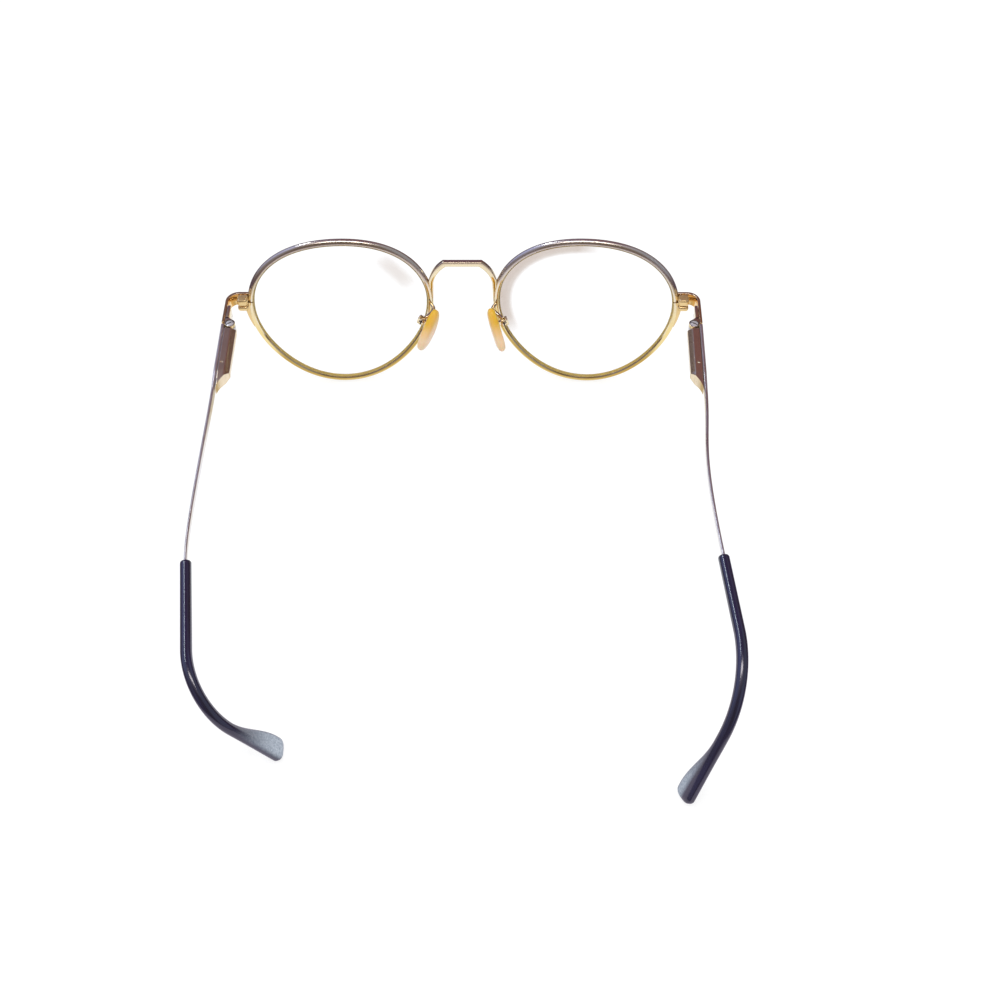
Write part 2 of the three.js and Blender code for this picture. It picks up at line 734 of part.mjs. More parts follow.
// Section of the tip: round along the ear, then a flat paddle that broadens inside the bend.
function tipOutline(temple, distance) {
  const length = tipLength(temple);
  const flareStart = length - paddleLength;
  const flare = THREE.MathUtils.smoothstep(distance, flareStart, flareStart + paddleFlare);
  const thick = THREE.MathUtils.lerp(tipRadius, paddleHalfThickness, flare);
  const inside = THREE.MathUtils.lerp(tipRadius, paddleBreadth - tipRadius, flare);
  const square = THREE.MathUtils.lerp(1, paddleSquareness, flare);
  const lip = THREE.MathUtils.lerp(tipLipRadius / tipRadius, 1, Math.min(1, distance / tipLip));
  const endShare = THREE.MathUtils.clamp((distance - length + tipEndRound) / tipEndRound, 0, 1);
  const round = lip * THREE.MathUtils.lerp(tipEndFlat, 1, Math.sqrt(1 - endShare * endShare));
  const middle = (tipRadius - inside) / 2;
  const outline = [];
  for (let i = 0; i < tipSides; i++) {
    const angle = (i / tipSides) * 2 * Math.PI;
    const across = Math.sign(Math.cos(angle)) * Math.abs(Math.cos(angle)) ** square;
    const up = Math.sign(Math.sin(angle)) * Math.abs(Math.sin(angle)) ** square;
    outline.push([thick * round * across, middle + (round * up * (tipRadius + inside)) / 2]);
  }
  return outline;
}

function tip(temple) {
  const marks = tipMarks(temple);
  const sleeve = loft(marks.map((mark) => ringAt(tipAt(temple, mark), tipOutline(temple, mark))));
  const coreEnd = tipLength(temple) - coreStop;
  const slot = plateOutline(coreThickness + 2 * runningGap, coreHeight + 2 * runningGap);
  const slotMarks = [-cutReach, ...marks.filter((mark) => mark < coreEnd), coreEnd, coreEnd + runningGap];
  return cut(sleeve, loft(slotMarks.map((mark) => ringAt(tipAt(temple, mark), slot))));
}

// How far from the middle the rim's edge beside the nose lies, at a height above the lens centre.
function noseEdge(height) {
  let high = 0.5 * Math.PI;
  let low = 1.5 * Math.PI;
  for (let i = 0; i < 40; i++) {
    const angle = (high + low) / 2;
    if (rimPoint(angle, rimWidth / 2, 0).y > height) high = angle;
    else low = angle;
  }
  return lensCentre.x + rimPoint(high, rimWidth / 2, 0).x * Math.cos(frontWrap);
}

// The bridge is an angular bar between the rims, whose legs run out along them.
function bridge() {
  const corner = new THREE.Vector2(bridgeTopHalf, bridgeTopHeight);
  const leg = new THREE.Vector2(noseEdge(bridgeLegHeight), bridgeLegHeight);
  const foot = new THREE.Vector2(noseEdge(bridgeFootHeight), bridgeFootHeight);
  const fall = leg.clone().sub(corner).normalize();
  const under = new THREE.Vector2(fall.y, -fall.x).multiplyScalar(bridgeBar);
  const underLeg = leg.clone().add(under);
  const underRun = -(bridgeBar + under.y) / fall.y;
  const underCorner = corner.clone().add(under).addScaledVector(fall, underRun);
  const bow = new THREE.Vector2(-fall.y, fall.x).multiplyScalar(2 * bridgeLegBow);
  const bowed = (start, end) => {
    const control = start.clone().lerp(end, 0.5).add(bow);
    return new THREE.QuadraticBezierCurve(start, control, end).getPoints(6);
  };
  const half = [
    ...bowed(underCorner, underLeg),
    foot,
    new THREE.Vector2(foot.x + rimWidth, foot.y),
    new THREE.Vector2(leg.x + rimWidth, leg.y - rimWidth),
    ...bowed(leg, corner),
  ];
  const otherHalf = half.map((point) => new THREE.Vector2(-point.x, point.y)).reverse();
  const shape = new THREE.Shape([...half, ...otherHalf]);
  const geometry = new THREE.ExtrudeGeometry(shape, { depth: bridgeDepth, bevelEnabled: false });
  geometry.translate(0, 0, rimHalfWidth * Math.sin(frontWrap) - bridgeDepth / 2);
  const right = new THREE.Vector3(1, 0, 0);
  const forward = new THREE.Vector3().crossVectors(right, lensUp);
  const frame = new THREE.Matrix4().makeBasis(right, lensUp, forward).setPosition(0, 0, lensCentre.z);
  return cut(geometry.applyMatrix4(frame), rimSpace(), rimSpace(-1));
}

// Frame of a nose pad at its screw: long up the pad, wide towards the back, face towards the nose.
function padFrame(turn, rock) {
  const long = new THREE.Vector3(-Math.sin(padSplay), 0, Math.cos(padSplay));
  const noseward = new THREE.Vector3(-Math.cos(padSplay), 0, -Math.sin(padSplay));
  const face = noseward.multiplyScalar(Math.cos(turn)).setY(Math.sin(turn));
  const wide = new THREE.Vector3().crossVectors(face, long);
  const screw = new THREE.Vector3(padSpacing / 2, padBehind, lensCentre.z - padDrop)
    .addScaledVector(long, padLugHeight)
    .addScaledVector(face, -padThickness / 2 - padLugReach);
  const frame = new THREE.Matrix4().makeBasis(long, wide, face).setPosition(screw);
  return frame.multiply(new THREE.Matrix4().makeRotationY(-rock));
}

function inFrame(frame, long, wide, face) {
  return new THREE.Vector3(long, wide, face).applyMatrix4(frame);
}

function padBlock(long, wide, faceLow, faceHigh) {
  return box(new THREE.Vector3(-long, -wide, faceLow), new THREE.Vector3(long, wide, faceHigh));
}

// The lug that is moulded into the pad: a foot plate inside it and an eye for the pad screw.
function lugSolid(spare) {
  const foot = padLugReach + (padThickness - lugFootThickness) / 2;
  return join(
    padBlock(lugHeight / 2 + spare, lugWidth / 2 + spare, -lugTail - spare, foot + lugFootThickness / 2),
    padBlock(
      lugFootLength / 2 + spare,
      lugFootWidth / 2 + spare,
      foot - spare,
      foot + lugFootThickness + spare,
    ),
  );
}

function padScrewHole(frame, radius) {
  const reach = lugWidth + 2 * boxCheek;
  return bar(inFrame(frame, 0, -reach, 0), inFrame(frame, 0, reach, 0), radius);
}

function padLug(frame) {
  return cut(lugSolid(0).applyMatrix4(frame), padScrewHole(frame, padScrewRadius + runningGap));
}

// A soft teardrop pad with a flat patch in the middle of the face that rests on the nose.
function nosePad(frame) {
  const layers = [[-0.5, 0.8], [-0.28, 0.98], [0.1, 1], [0.36, 0.86], [0.5, 0.58]];
  const sides = 20;
  const rings = layers.map(([depth, share]) => {
    const ring = [];
    for (let i = 0; i < sides; i++) {
      const angle = (i / sides) * 2 * Math.PI;
      const long = (Math.cos(angle) * share * padLength) / 2 - padLugHeight;
      const wide = (Math.sin(angle) * share * padWidth * (1 - padTaper * Math.cos(angle))) / 2;
      ring.push(inFrame(frame, long, wide, padLugReach + (0.5 + depth) * padThickness));
    }
    return ring;
  });
  return cut(loft(rings), lugSolid(solderGap).applyMatrix4(frame));
}

const boxRoom = Math.hypot(lugTail, lugHeight / 2) + runningGap;
const boxSlot = lugWidth / 2 + runningGap;

// A small clevis that holds the pad's lug.
function padBox(frame) {
  const outside = padBlock(boxHeight / 2, boxSlot + boxCheek, -boxRoom - boxCheek, boxFront);
  const slot = padBlock(boxHeight, boxSlot, -boxRoom, boxFront + cutReach);
  const clevis = cut(outside, slot).applyMatrix4(frame);
  return cut(clevis, padScrewHole(frame, padScrewRadius + solderGap));
}

function padScrew(frame) {
  const cheek = boxSlot + boxCheek;
  const headTop = inFrame(frame, 0, cheek + solderGap + padScrewHeadHeight, 0);
  const tip = inFrame(frame, 0, -cheek, 0);
  const slotAlong = new THREE.Vector3().setFromMatrixColumn(frame, 0);
  return slottedScrew(headTop, tip, padScrewRadius, padScrewHead, padScrewHeadHeight, slotAlong);
}

// The pad arm is a wire that leaves the back of the rim, bulges towards the nose and bends back to
// the front cheek of the pad box.
function padArm(frame) {
  const start = rimWorld(armAngle, 0, -rimDepth / 4);
  const cheek = -boxSlot - boxCheek - solderGap;
  const path = new THREE.CatmullRomCurve3([
    start,
    start.clone().add(new THREE.Vector3(-armBulge, armReach, 0)),
    inFrame(frame, armRadius, cheek - armTurn, armRadius),
    inFrame(frame, 0, cheek - armRadius, 0),
    inFrame(frame, 0, cheek, 0),
  ]);
  const circle = new THREE.Shape().absarc(0, 0, armRadius, 0, 2 * Math.PI);
  const wire = new THREE.ExtrudeGeometry(circle, { steps: 14, curveSegments: 4, extrudePath: path });
  return cut(wire, rimSpace());
}

function piece(name, geometry, finish) {
  const flat = geometry.index ? geometry.toNonIndexed() : geometry;
  flat.computeVertexNormals();
  const mesh = new THREE.Mesh(flat, new THREE.MeshStandardMaterial(finish));
  mesh.name = name;
  return mesh;
}

// All the pieces of one side, modelled on the wearer's left and mirrored for the right.
function buildSide(temple) {
  const boxFrame = padFrame(temple.padTurn, 0);
  const rockedFrame = padFrame(temple.padTurn, temple.padRock);
  const { gold, paleGold, steel } = finishes;
  const frontPieces = [
    ["rim", rim(), gold],
    ["lens", lens(), finishes.lens],
    ["end_piece", endPiece(), gold],
    ["lock_upper", lockUpper(), gold],
    ["lock_lower", lockLower(), gold],
    ["lock_screw", lockScrew(), steel],
    ["front_hinge", frontHinge(), gold],
    ["hinge_screw", hingeScrew(), steel],
    ["pad_arm", padArm(boxFrame), gold],
    ["pad_box", padBox(boxFrame), gold],
    ["pad_screw", padScrew(boxFrame), gold],
    ["pad_lug", padLug(rockedFrame), gold],
    ["nose_pad", nosePad(rockedFrame), finishes.pad],
  ];
  const templePieces = [
    ["hinge_tongue", hingeTongue(), steel],
    ["spring_bush", springBush(), steel],
    ["spring_stop", springStop(), steel],
    ["spring", spring(), steel],
    ["spring_housing", springHousing(), paleGold],
    ["temple", templeBar(temple), gold],
    ["tip", tip(temple), finishes.tip],
  ];
  const toPiece = ([name, geometry, finish]) => piece(`${temple.name}_${name}`, geometry, finish);
  const templeSide = new THREE.Group();
  templeSide.add(...templePieces.map(toPiece));
  templeSide.position.set(-hinge.x, -hinge.y, 0);
  const swing = new THREE.Group();
  swing.add(templeSide);
  swing.position.set(hinge.x, hinge.y, 0);
  swing.rotation.z = templeToe;
  const side = new THREE.Group();
  side.add(...frontPieces.map(toPiece), swing);
  side.scale.x = temple.mirror;
  return side;
}

const eyeglasses = new THREE.Group();
eyeglasses.add(piece("bridge", bridge(), finishes.gold));
eyeglasses.add(buildSide(leftTemple), buildSide(rightTemple));

export default eyeglasses;
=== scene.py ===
# %% [markdown]
# # Round metal eyeglasses, seen from behind
# The glasses stand open on a white table: the lower edges of the rims and the ends of the temples touch
# it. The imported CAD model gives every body, joint and outside size. Here each piece is drawn again as a
# smooth surface over its CAD node, in the same frame, and gets a finish: gilt metal, glass, silicone or
# plastic.

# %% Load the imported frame
import json

import bpy
import numpy as np
from mathutils import Matrix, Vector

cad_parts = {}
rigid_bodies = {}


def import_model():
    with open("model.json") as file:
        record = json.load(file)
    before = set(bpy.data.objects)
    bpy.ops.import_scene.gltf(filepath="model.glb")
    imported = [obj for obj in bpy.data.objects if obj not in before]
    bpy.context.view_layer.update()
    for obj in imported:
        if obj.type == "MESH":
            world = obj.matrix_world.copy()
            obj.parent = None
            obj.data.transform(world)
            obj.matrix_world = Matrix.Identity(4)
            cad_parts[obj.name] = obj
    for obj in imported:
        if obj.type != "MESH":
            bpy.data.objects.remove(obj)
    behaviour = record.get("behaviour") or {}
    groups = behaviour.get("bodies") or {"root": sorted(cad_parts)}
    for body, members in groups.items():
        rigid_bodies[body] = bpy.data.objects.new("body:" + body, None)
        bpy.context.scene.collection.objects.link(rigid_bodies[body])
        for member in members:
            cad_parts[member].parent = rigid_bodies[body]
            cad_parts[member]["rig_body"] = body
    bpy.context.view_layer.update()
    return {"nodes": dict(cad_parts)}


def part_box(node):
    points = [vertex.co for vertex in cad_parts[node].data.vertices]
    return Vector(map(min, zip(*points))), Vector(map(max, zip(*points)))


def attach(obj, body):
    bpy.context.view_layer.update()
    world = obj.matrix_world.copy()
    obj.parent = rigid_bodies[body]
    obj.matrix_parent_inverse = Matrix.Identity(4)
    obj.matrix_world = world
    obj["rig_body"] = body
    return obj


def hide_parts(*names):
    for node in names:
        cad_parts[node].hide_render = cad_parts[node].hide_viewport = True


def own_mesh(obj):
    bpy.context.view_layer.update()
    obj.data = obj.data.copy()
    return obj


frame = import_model()

# %% [markdown]
# ## The camera
# The picture is taken from behind the wearer's side and well above. Three angles give the way the camera
# looks, and from them come its right, up and backward directions, which are the columns of its matrix. A
# Track To constraint would aim it too, but could not roll it. Lengths here are in millimetres, as on a
# drawing, and become metres when they reach Blender.

# %% Camera at the picture's angle
MM = 0.001
CAMERA_AZIMUTH, CAMERA_ELEVATION, CAMERA_ROLL = np.radians([-1.60, 50.65, -1.07])
CAMERA_PLACE = np.array([-17.53, 301.34, 309.22])
CAMERA_LENS = 53.75


def unit(vectors):
    """Vectors of length one: each is divided by its own length."""
    return vectors / np.linalg.norm(vectors, axis=-1, keepdims=True)


def camera_axes():
    """Right, up and backward: backward follows azimuth and elevation, the other two turn by the roll."""
    level = np.cos(CAMERA_ELEVATION)
    backward = np.array([
        np.sin(CAMERA_AZIMUTH) * level,
        np.cos(CAMERA_AZIMUTH) * level,
        np.sin(CAMERA_ELEVATION),
    ])
    right = unit(np.cross([0, 0, 1], backward))
    up = np.cross(backward, right)
    cos, sin = np.cos(CAMERA_ROLL), np.sin(CAMERA_ROLL)
    return np.stack([cos * right + sin * up, cos * up - sin * right, backward])


def aimed(data, axes, place):
    """An object whose matrix has its axes as columns and its place, in metres, as the last column."""
    thing = bpy.data.objects.new(data.name, data)
    matrix = np.eye(4)
    matrix[:3, :3] = axes.T
    matrix[:3, 3] = place
    thing.matrix_world = Matrix(matrix.tolist())
    bpy.context.scene.collection.objects.link(thing)
    return thing


def add_camera():
    """The scene's camera, so near the glasses that it needs a short clipping distance."""
    data = bpy.data.cameras.new("behind")
    data.lens = CAMERA_LENS
    data.clip_start = 0.01
    bpy.context.scene.camera = aimed(data, camera_axes(), CAMERA_PLACE * MM)


add_camera()
print("camera looks along", np.round(-camera_axes()[2], 3))

# %% [markdown]
# ## Skins from rings
# Almost every part of a spectacle frame is a wire, a strap or a turned pin, so one helper serves them
# all: a skin is a row of closed rings of points, and neighbouring rings are joined by four-sided faces.
# It is computed as one array of shape (rings, points in a ring, 3). Curves with a bevel could make many
# of these pieces, but could not keep a value for each point. A skin keeps two things for its finish: a UV
# map along and around it, and a value for wear and painted shade. It is above zero on sharp edges, where
# plating rubs off first, and below zero in slots and seats, which it darkens with dirt and painted shade.

# %% Skin helpers
WEAR_FROM, WEAR_FULL = 2.2, 6.0  # edge curvature per millimetre at which wear starts and is full


def edge_wear(rings):
    """How sharply each ring turns at each point: the turning angle over the length of edge around it."""
    before = rings - np.roll(rings, 1, axis=1)
    after = np.roll(rings, -1, axis=1) - rings
    turn = np.arctan2(
        np.linalg.norm(np.cross(before, after), axis=-1),
        (before * after).sum(-1),
    )
    length = (np.linalg.norm(before, axis=-1) + np.linalg.norm(after, axis=-1)) / 2
    return np.clip((turn / (length + 1e-3) - WEAR_FROM) / (WEAR_FULL - WEAR_FROM), 0, 1)


def skin(rings, closed=False, dirt_and_shade=0):
    """Points, faces, UVs and wear of a row of rings.

    Point j of ring i joins point j+1 and ring i+1. A closed row joins its last ring to its first, and an
    open row is shut at both ends by a fan of triangles around the ring's middle.
    """
    count, sides, _ = rings.shape
    points = rings.reshape(-1, 3)
    row, place = np.meshgrid(np.arange(count if closed else count - 1), np.arange(sides), indexing="ij")
    row, place = row.ravel(), place.ravel()
    next_row, next_place = (row + 1) % count, (place + 1) % sides
    quads = np.stack([
        row * sides + place,
        row * sides + next_place,
        next_row * sides + next_place,
        next_row * sides + place,
    ], axis=1)

    steps_along = np.linalg.norm(np.roll(rings, -1, axis=0) - rings, axis=-1).mean(1)
    steps_round = np.linalg.norm(np.roll(rings, -1, axis=1) - rings, axis=-1).mean(0)
    along = np.concatenate([[0], np.cumsum(steps_along)])
    around = np.concatenate([[0], np.cumsum(steps_round)])
    quad_uv = np.stack([
        np.stack([along[row], around[place]], axis=1),
        np.stack([along[row], around[place + 1]], axis=1),
        np.stack([along[row + 1], around[place + 1]], axis=1),
        np.stack([along[row + 1], around[place]], axis=1),
    ], axis=1)

    wear_and_shade = np.clip(edge_wear(rings) - 2 * np.asarray(dirt_and_shade), -1, 1).ravel()
    if closed:
        return dict(points=points, quads=quads, quad_uv=quad_uv, wear_and_shade=wear_and_shade,
                    tris=np.zeros((0, 3), int), tri_uv=np.zeros((0, 3, 2)))
    middles = np.stack([rings[0].mean(0), rings[-1].mean(0)])
    ring = np.arange(sides)
    turned = (ring + 1) % sides
    last = (count - 1) * sides
    start_fan = np.stack([np.full(sides, len(points)), turned, ring], axis=1)
    end_fan = np.stack([np.full(sides, len(points) + 1), last + ring, last + turned], axis=1)
    tris = np.concatenate([start_fan, end_fan])
    points = np.concatenate([points, middles])
    flat = points[:, :2] - points[:, :2].min(0)
    return dict(points=points, quads=quads, quad_uv=quad_uv, wear_and_shade=np.append(wear_and_shade, [0, 0]),
                tris=tris, tri_uv=flat[tris])


print("skins keep a UV map and a wear value, which is full at", WEAR_FULL, "per millimetre")

# %% Joining skins and turning them out
def merge(skins):
    """Several skins as one: points are put end to end, and faces count on from the points before."""
    starts = np.cumsum([0] + [len(s["points"]) for s in skins[:-1]])
    joined = {}
    for key in ("points", "quad_uv", "tri_uv", "wear_and_shade"):
        joined[key] = np.concatenate([s[key] for s in skins])
    for key in ("quads", "tris"):
        joined[key] = np.concatenate([s[key] + start for s, start in zip(skins, starts)])
    return joined


def turned_out(part):
    """The same skin facing outwards: if its signed volume is negative, every face is turned over."""
    p = part["points"]
    q, t = part["quads"], part["tris"]
    corners = np.concatenate([q[:, [0, 1, 2]], q[:, [0, 2, 3]], t])
    volume = np.einsum("ij,ij->", p[corners[:, 0]], np.cross(p[corners[:, 1]], p[corners[:, 2]]))
    if volume < 0:
        for key in ("quads", "tris", "quad_uv", "tri_uv"):
            part[key] = part[key][:, ::-1]
    return part


print("skins are joined end to end, and turned over if they face inwards")

# %% [markdown]
# ## From a skin to a piece
# A piece is one Blender mesh at the origin. The right half of the frame is the left half with x turned
# round, so pieces are worked out once, on the wearer's left. A Mirror modifier would put both sides into
# one object, which could then not fold apart. A mirrored skin faces inwards, and so the signed volume is
# used to turn the faces back. A piece rides on the body of the CAD node it stands for.

# %% Piece helper
SIDES = {"left": 1, "right": -1}
SHARP_ANGLE = np.radians(38)
made_pieces = []


def add_piece(name, skins, node, finish, side="left", extra=None):
    """One mesh from skins in millimetres. It replaces the CAD node and takes the node's body."""
    part = merge([turned_out(dict(s, points=s["points"] * [SIDES[side], 1, 1])) for s in skins])
    mesh = bpy.data.meshes.new(name)
    mesh.from_pydata((part["points"] * MM).tolist(), [], part["quads"].tolist() + part["tris"].tolist())
    uv = np.concatenate([part["quad_uv"].reshape(-1, 2), part["tri_uv"].reshape(-1, 2)]) * MM
    mesh.uv_layers.new(name="along").uv.foreach_set("vector", uv.astype(np.float32).ravel())
    values = {"wear_and_shade": part["wear_and_shade"], **(extra or {})}
    for key, value in values.items():
        attribute = mesh.attributes.new(key, "FLOAT", "POINT")
        attribute.data.foreach_set("value", np.full(len(part["points"]), value, np.float32))
    mesh.shade_smooth()
    mesh.set_sharp_from_angle(angle=SHARP_ANGLE)
    mesh.materials.append(finish)
    piece = bpy.data.objects.new(name, mesh)
    bpy.context.scene.collection.objects.link(piece)
    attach(piece, frame["nodes"][node]["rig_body"])
    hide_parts(node)
    drawn_box = np.stack([part["points"].min(0), part["points"].max(0)])
    off = np.abs(drawn_box - np.array(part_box(node)) / MM).max()
    made_pieces.append((name, len(mesh.polygons), float(off)))
    return piece


print("pieces are mirrored for", [name for name, sign in SIDES.items() if sign < 0])

# %% [markdown]
# ## Sections and ways to carry them
# A wire or strap is an outline carried along a path. A drawn strap never has a perfectly sharp edge, so
# outlines are softened: each corner becomes a small arc from a point on the edge before it to a point on
# the edge after it. A Bevel modifier rounds edges too, but this way the rounding is part of the outline,
# and it works for one outline or for a whole stack of them at once.

# %% Outlines
def soften(corners, radius, steps=4):
    """Rounds closed outlines: corner C becomes (1-t)^2 A + 2t(1-t) C + t^2 B, A and B being on its edges."""
    before = np.roll(corners, 1, axis=-2) - corners
    after = np.roll(corners, -1, axis=-2) - corners
    before_length = np.linalg.norm(before, axis=-1, keepdims=True) + 1e-9
    after_length = np.linalg.norm(after, axis=-1, keepdims=True) + 1e-9
    cut = np.minimum(radius, 0.45 * np.minimum(before_length, after_length))
    start = (corners + before / before_length * cut)[..., None, :]
    end = (corners + after / after_length * cut)[..., None, :]
    t = np.linspace(0, 1, steps + 1)[:, None]
    arcs = (1 - t) ** 2 * start + 2 * t * (1 - t) * corners[..., None, :] + t**2 * end
    return arcs.reshape(*corners.shape[:-2], -1, 2)


def rectangle(width, height):
    """Corners of rectangles around the origin, one for each width and height."""
    x, y = np.broadcast_arrays(np.asarray(width, float) / 2, np.asarray(height, float) / 2)
    return np.stack([np.stack([x, x, -x, -x], -1), np.stack([-y, y, y, -y], -1)], -1)


def drawn_in(outline, amount):
    """An outline moved square to itself, inwards for an outline that runs anticlockwise."""
    along = np.roll(outline, -1, axis=-2) - np.roll(outline, 1, axis=-2)
    along = along / (np.linalg.norm(along, axis=-1, keepdims=True) + 1e-9)
    normal = np.stack([along[..., 1], -along[..., 0]], -1)
    return outline - normal * amount


def quarter_round(radius, steps=4):
    """Depth from an end face and inset at that depth, along a quarter circle from the face to the side."""
    turn = np.linspace(0, np.pi / 2, steps + 1)
    return radius * (1 - np.cos(turn)), radius * (1 - np.sin(turn))


print("a softened square has", len(soften(rectangle(1, 1), 0.2)), "points")

# %% Sweeps, blocks and turned shapes
def sweep(path, up, outlines, end_round=0.0):
    """Carries outlines of (inboard, up) pairs along a path: point + inboard * a + up * b.

    Up is made square to the path, and inboard is up x along. With end_round the ends are rounded over.
    """
    along = unit(np.gradient(path, axis=0))
    up = np.broadcast_to(up, path.shape)
    up = unit(up - along * (up * along).sum(-1, keepdims=True))
    inboard = np.cross(up, along)
    outlines = np.broadcast_to(outlines, (len(path), *np.shape(outlines)[-2:]))
    rings = (path[:, None] + inboard[:, None] * outlines[..., :1] + up[:, None] * outlines[..., 1:])
    if end_round == 0:
        return rings
    depth, inset = quarter_round(end_round)

    def rounded_end(i, way):
        ends = drawn_in(outlines[i], inset[:, None, None])
        places = path[i] + way * along[i] * depth[:, None]
        return places[:, None] + inboard[i] * ends[..., :1] + up[i] * ends[..., 1:]

    start, end = rounded_end(0, 1), rounded_end(-1, -1)[::-1]
    return np.concatenate([start, rings[1:-1], end])


def block(outline, low, high, edge, steps=4):
    """An outline raised from low to high, with its two rims rounded by the edge radius."""
    depth, inset = quarter_round(edge, steps)
    heights = np.concatenate([low + depth, (high - depth)[::-1]])
    insets = np.concatenate([inset, inset[::-1]])
    flat = drawn_in(outline, insets[:, None, None])
    return np.concatenate([flat, np.broadcast_to(heights[:, None, None], (*flat.shape[:2], 1))], -1)


def turned_shape(profile, sides=40):
    """A profile of (radius, height) pairs spun about the third axis."""
    angle = np.linspace(0, 2 * np.pi, sides, endpoint=False)
    radius, height = profile[:, 0, None], profile[:, 1, None]
    return np.stack([radius * np.cos(angle), radius * np.sin(angle), height + 0 * angle], -1)


def placed(points, origin, axes):
    """Local points put in a frame: origin + x * first axis + y * second axis + z * third axis."""
    return origin + points @ np.asarray(axes, float)


print("a block with rounded edges has", len(block(rectangle(1, 1), 0, 1, 0.2)), "rings")

# %% [markdown]
# ## The line of the rim
# The eye shape is called panto: a little wider than tall, flatter on top and fuller below. It is an
# ellipse whose radius swells with the sine of three times the angle. A curve traced by hand would do for
# one rim, but a formula can be moved outwards and inwards exactly, for rim, lens and bridge. The whole
# front leans, and each eye turns a little round the face, so points are worked out in the lens's own
# frame first, whose axes are outboard, up and forward.

# %% Rim line and lens frame
RIM_HALF_WIDTH, RIM_HALF_HEIGHT, PANTO_SWELL = 24.5, 22.9, 0.0375
RIM_WIDTH, RIM_DEPTH, RIM_LIP = 1.6, 2.0, 0.3
NOSE_GAP = 16.7
FRONT_TILT, FRONT_WRAP = np.radians([7.6, 3.75])
RIM_REACH = RIM_HALF_WIDTH + RIM_WIDTH / 2

LENS_CENTRE = np.array([
    NOSE_GAP / 2 + RIM_REACH * np.cos(FRONT_WRAP),
    0,
    (RIM_HALF_HEIGHT * (1 + PANTO_SWELL) + RIM_WIDTH / 2) * np.cos(FRONT_TILT),
])
LENS_OUT = np.array([
    np.cos(FRONT_WRAP),
    np.sin(FRONT_WRAP) * np.cos(FRONT_TILT),
    np.sin(FRONT_WRAP) * np.sin(FRONT_TILT),
])
LENS_UP = np.array([0, -np.sin(FRONT_TILT), np.cos(FRONT_TILT)])
LENS_AXES = np.stack([LENS_OUT, LENS_UP, np.cross(LENS_OUT, LENS_UP)])


def rim_line(angle):
    """Ellipse radius 1 / hypot(cos/a, sin/b), times 1 + swell * sin(3 angle)."""
    ellipse = 1 / np.hypot(np.cos(angle) / RIM_HALF_WIDTH, np.sin(angle) / RIM_HALF_HEIGHT)
    radius = ellipse * (1 + PANTO_SWELL * np.sin(3 * angle))
    return np.stack([radius * np.cos(angle), radius * np.sin(angle)], -1)


def rim_offset(angle, outward):
    """The rim line moved square to itself, away from the lens."""
    step = 0.01
    along = unit(rim_line(angle + step) - rim_line(angle - step))
    return rim_line(angle) + np.stack([along[..., 1], -along[..., 0]], -1) * np.asarray(outward)[..., None]


def on_front(angle, outward, forward):
    """A point beside the rim line, put in the room by the lens frame."""
    flat = rim_offset(angle, outward)
    forward = np.broadcast_to(np.asarray(forward, float), flat.shape[:-1])
    return placed(np.concatenate([flat, forward[..., None]], -1), LENS_CENTRE, LENS_AXES)


print("lens centre", np.round(LENS_CENTRE, 2))

# %% [markdown]
# ## Finishes
# Every finish is built from nodes, on Object coordinates or on the piece's own UV map, so it turns and
# folds with the piece. Nodes can be drawn by hand in the Shader Editor. In a script, small helpers that
# each add one kind of node and return its output keep the trees short enough to read.

# %% Nodes and materials
def connect(tree, node, inputs):
    """Gives each named input of a node a value, or a link where the value is another node's output."""
    for key, value in inputs.items():
        if isinstance(value, bpy.types.NodeSocket):
            tree.links.new(value, node.inputs[key])
        else:
            node.inputs[key].default_value = value


def add_node(tree, kind, inputs=None, **settings):
    """Adds a node, makes its settings and connects its inputs."""
    node = tree.nodes.new(kind)
    for key, value in settings.items():
        setattr(node, key, value)
    connect(tree, node, inputs or {})
    return node


def empty_finish(name):
    """A material whose node tree is empty."""
    material = bpy.data.materials.new(name)
    material.use_nodes = True
    material.node_tree.nodes.clear()
    return material, material.node_tree


def new_finish(name):
    """A material with a Principled shader on its output."""
    material, tree = empty_finish(name)
    shader = add_node(tree, "ShaderNodeBsdfPrincipled")
    add_node(tree, "ShaderNodeOutputMaterial", {"Surface": shader.outputs[0]})
    return material, tree, shader


print("materials before the first finish:", len(bpy.data.materials))

# %% Nodes for numbers, colours and shaders
MIX_FACTOR, MIX_FIRST, MIX_SECOND, MIX_RESULT = 0, 6, 7, 2  # the sockets of a Mix node that serve colours


def ramp(tree, factor, low, high, from_low=0.0, from_high=1.0):
    """A number carried from one range to another, held at the ends."""
    node = add_node(tree, "ShaderNodeMapRange", {
        "Value": factor, "From Min": from_low, "From Max": from_high, "To Min": low, "To Max": high,
    })
    return node.outputs["Result"]


def maths(tree, operation, *values):
    """The result of one Math node, such as a product."""
    return add_node(tree, "ShaderNodeMath", dict(enumerate(values)), operation=operation).outputs[0]


def mix_colour(tree, factor, first, second):
    """Two colours mixed: first * (1 - factor) + second * factor."""
    inputs = {MIX_FACTOR: factor, MIX_FIRST: first, MIX_SECOND: second}
    return add_node(tree, "ShaderNodeMix", inputs, data_type="RGBA").outputs[MIX_RESULT]


def layered(tree, base, layers):
    """Colours laid over a base one after the other, each as far as its own factor says."""
    for factor, colour in layers:
        base = mix_colour(tree, factor, base, colour)
    return base


def mix_shader(tree, factor, first, second):
    """The first shader where the factor is 0, and the second where it is 1."""
    return add_node(tree, "ShaderNodeMixShader", {0: factor, 1: first.outputs[0], 2: second.outputs[0]})


print("number and colour helpers:", [helper.__name__ for helper in (ramp, maths, layered, mix_shader)])

# %% Nodes for patterns
def noise(tree, vector, scale, detail=3.0, roughness=0.5):
    """Smooth random values around one half, closer together where the scale is high."""
    node = add_node(tree, "ShaderNodeTexNoise", {
        "Vector": vector, "Scale": scale, "Detail": detail, "Roughness": roughness,
    })
    return node.outputs["Fac"]


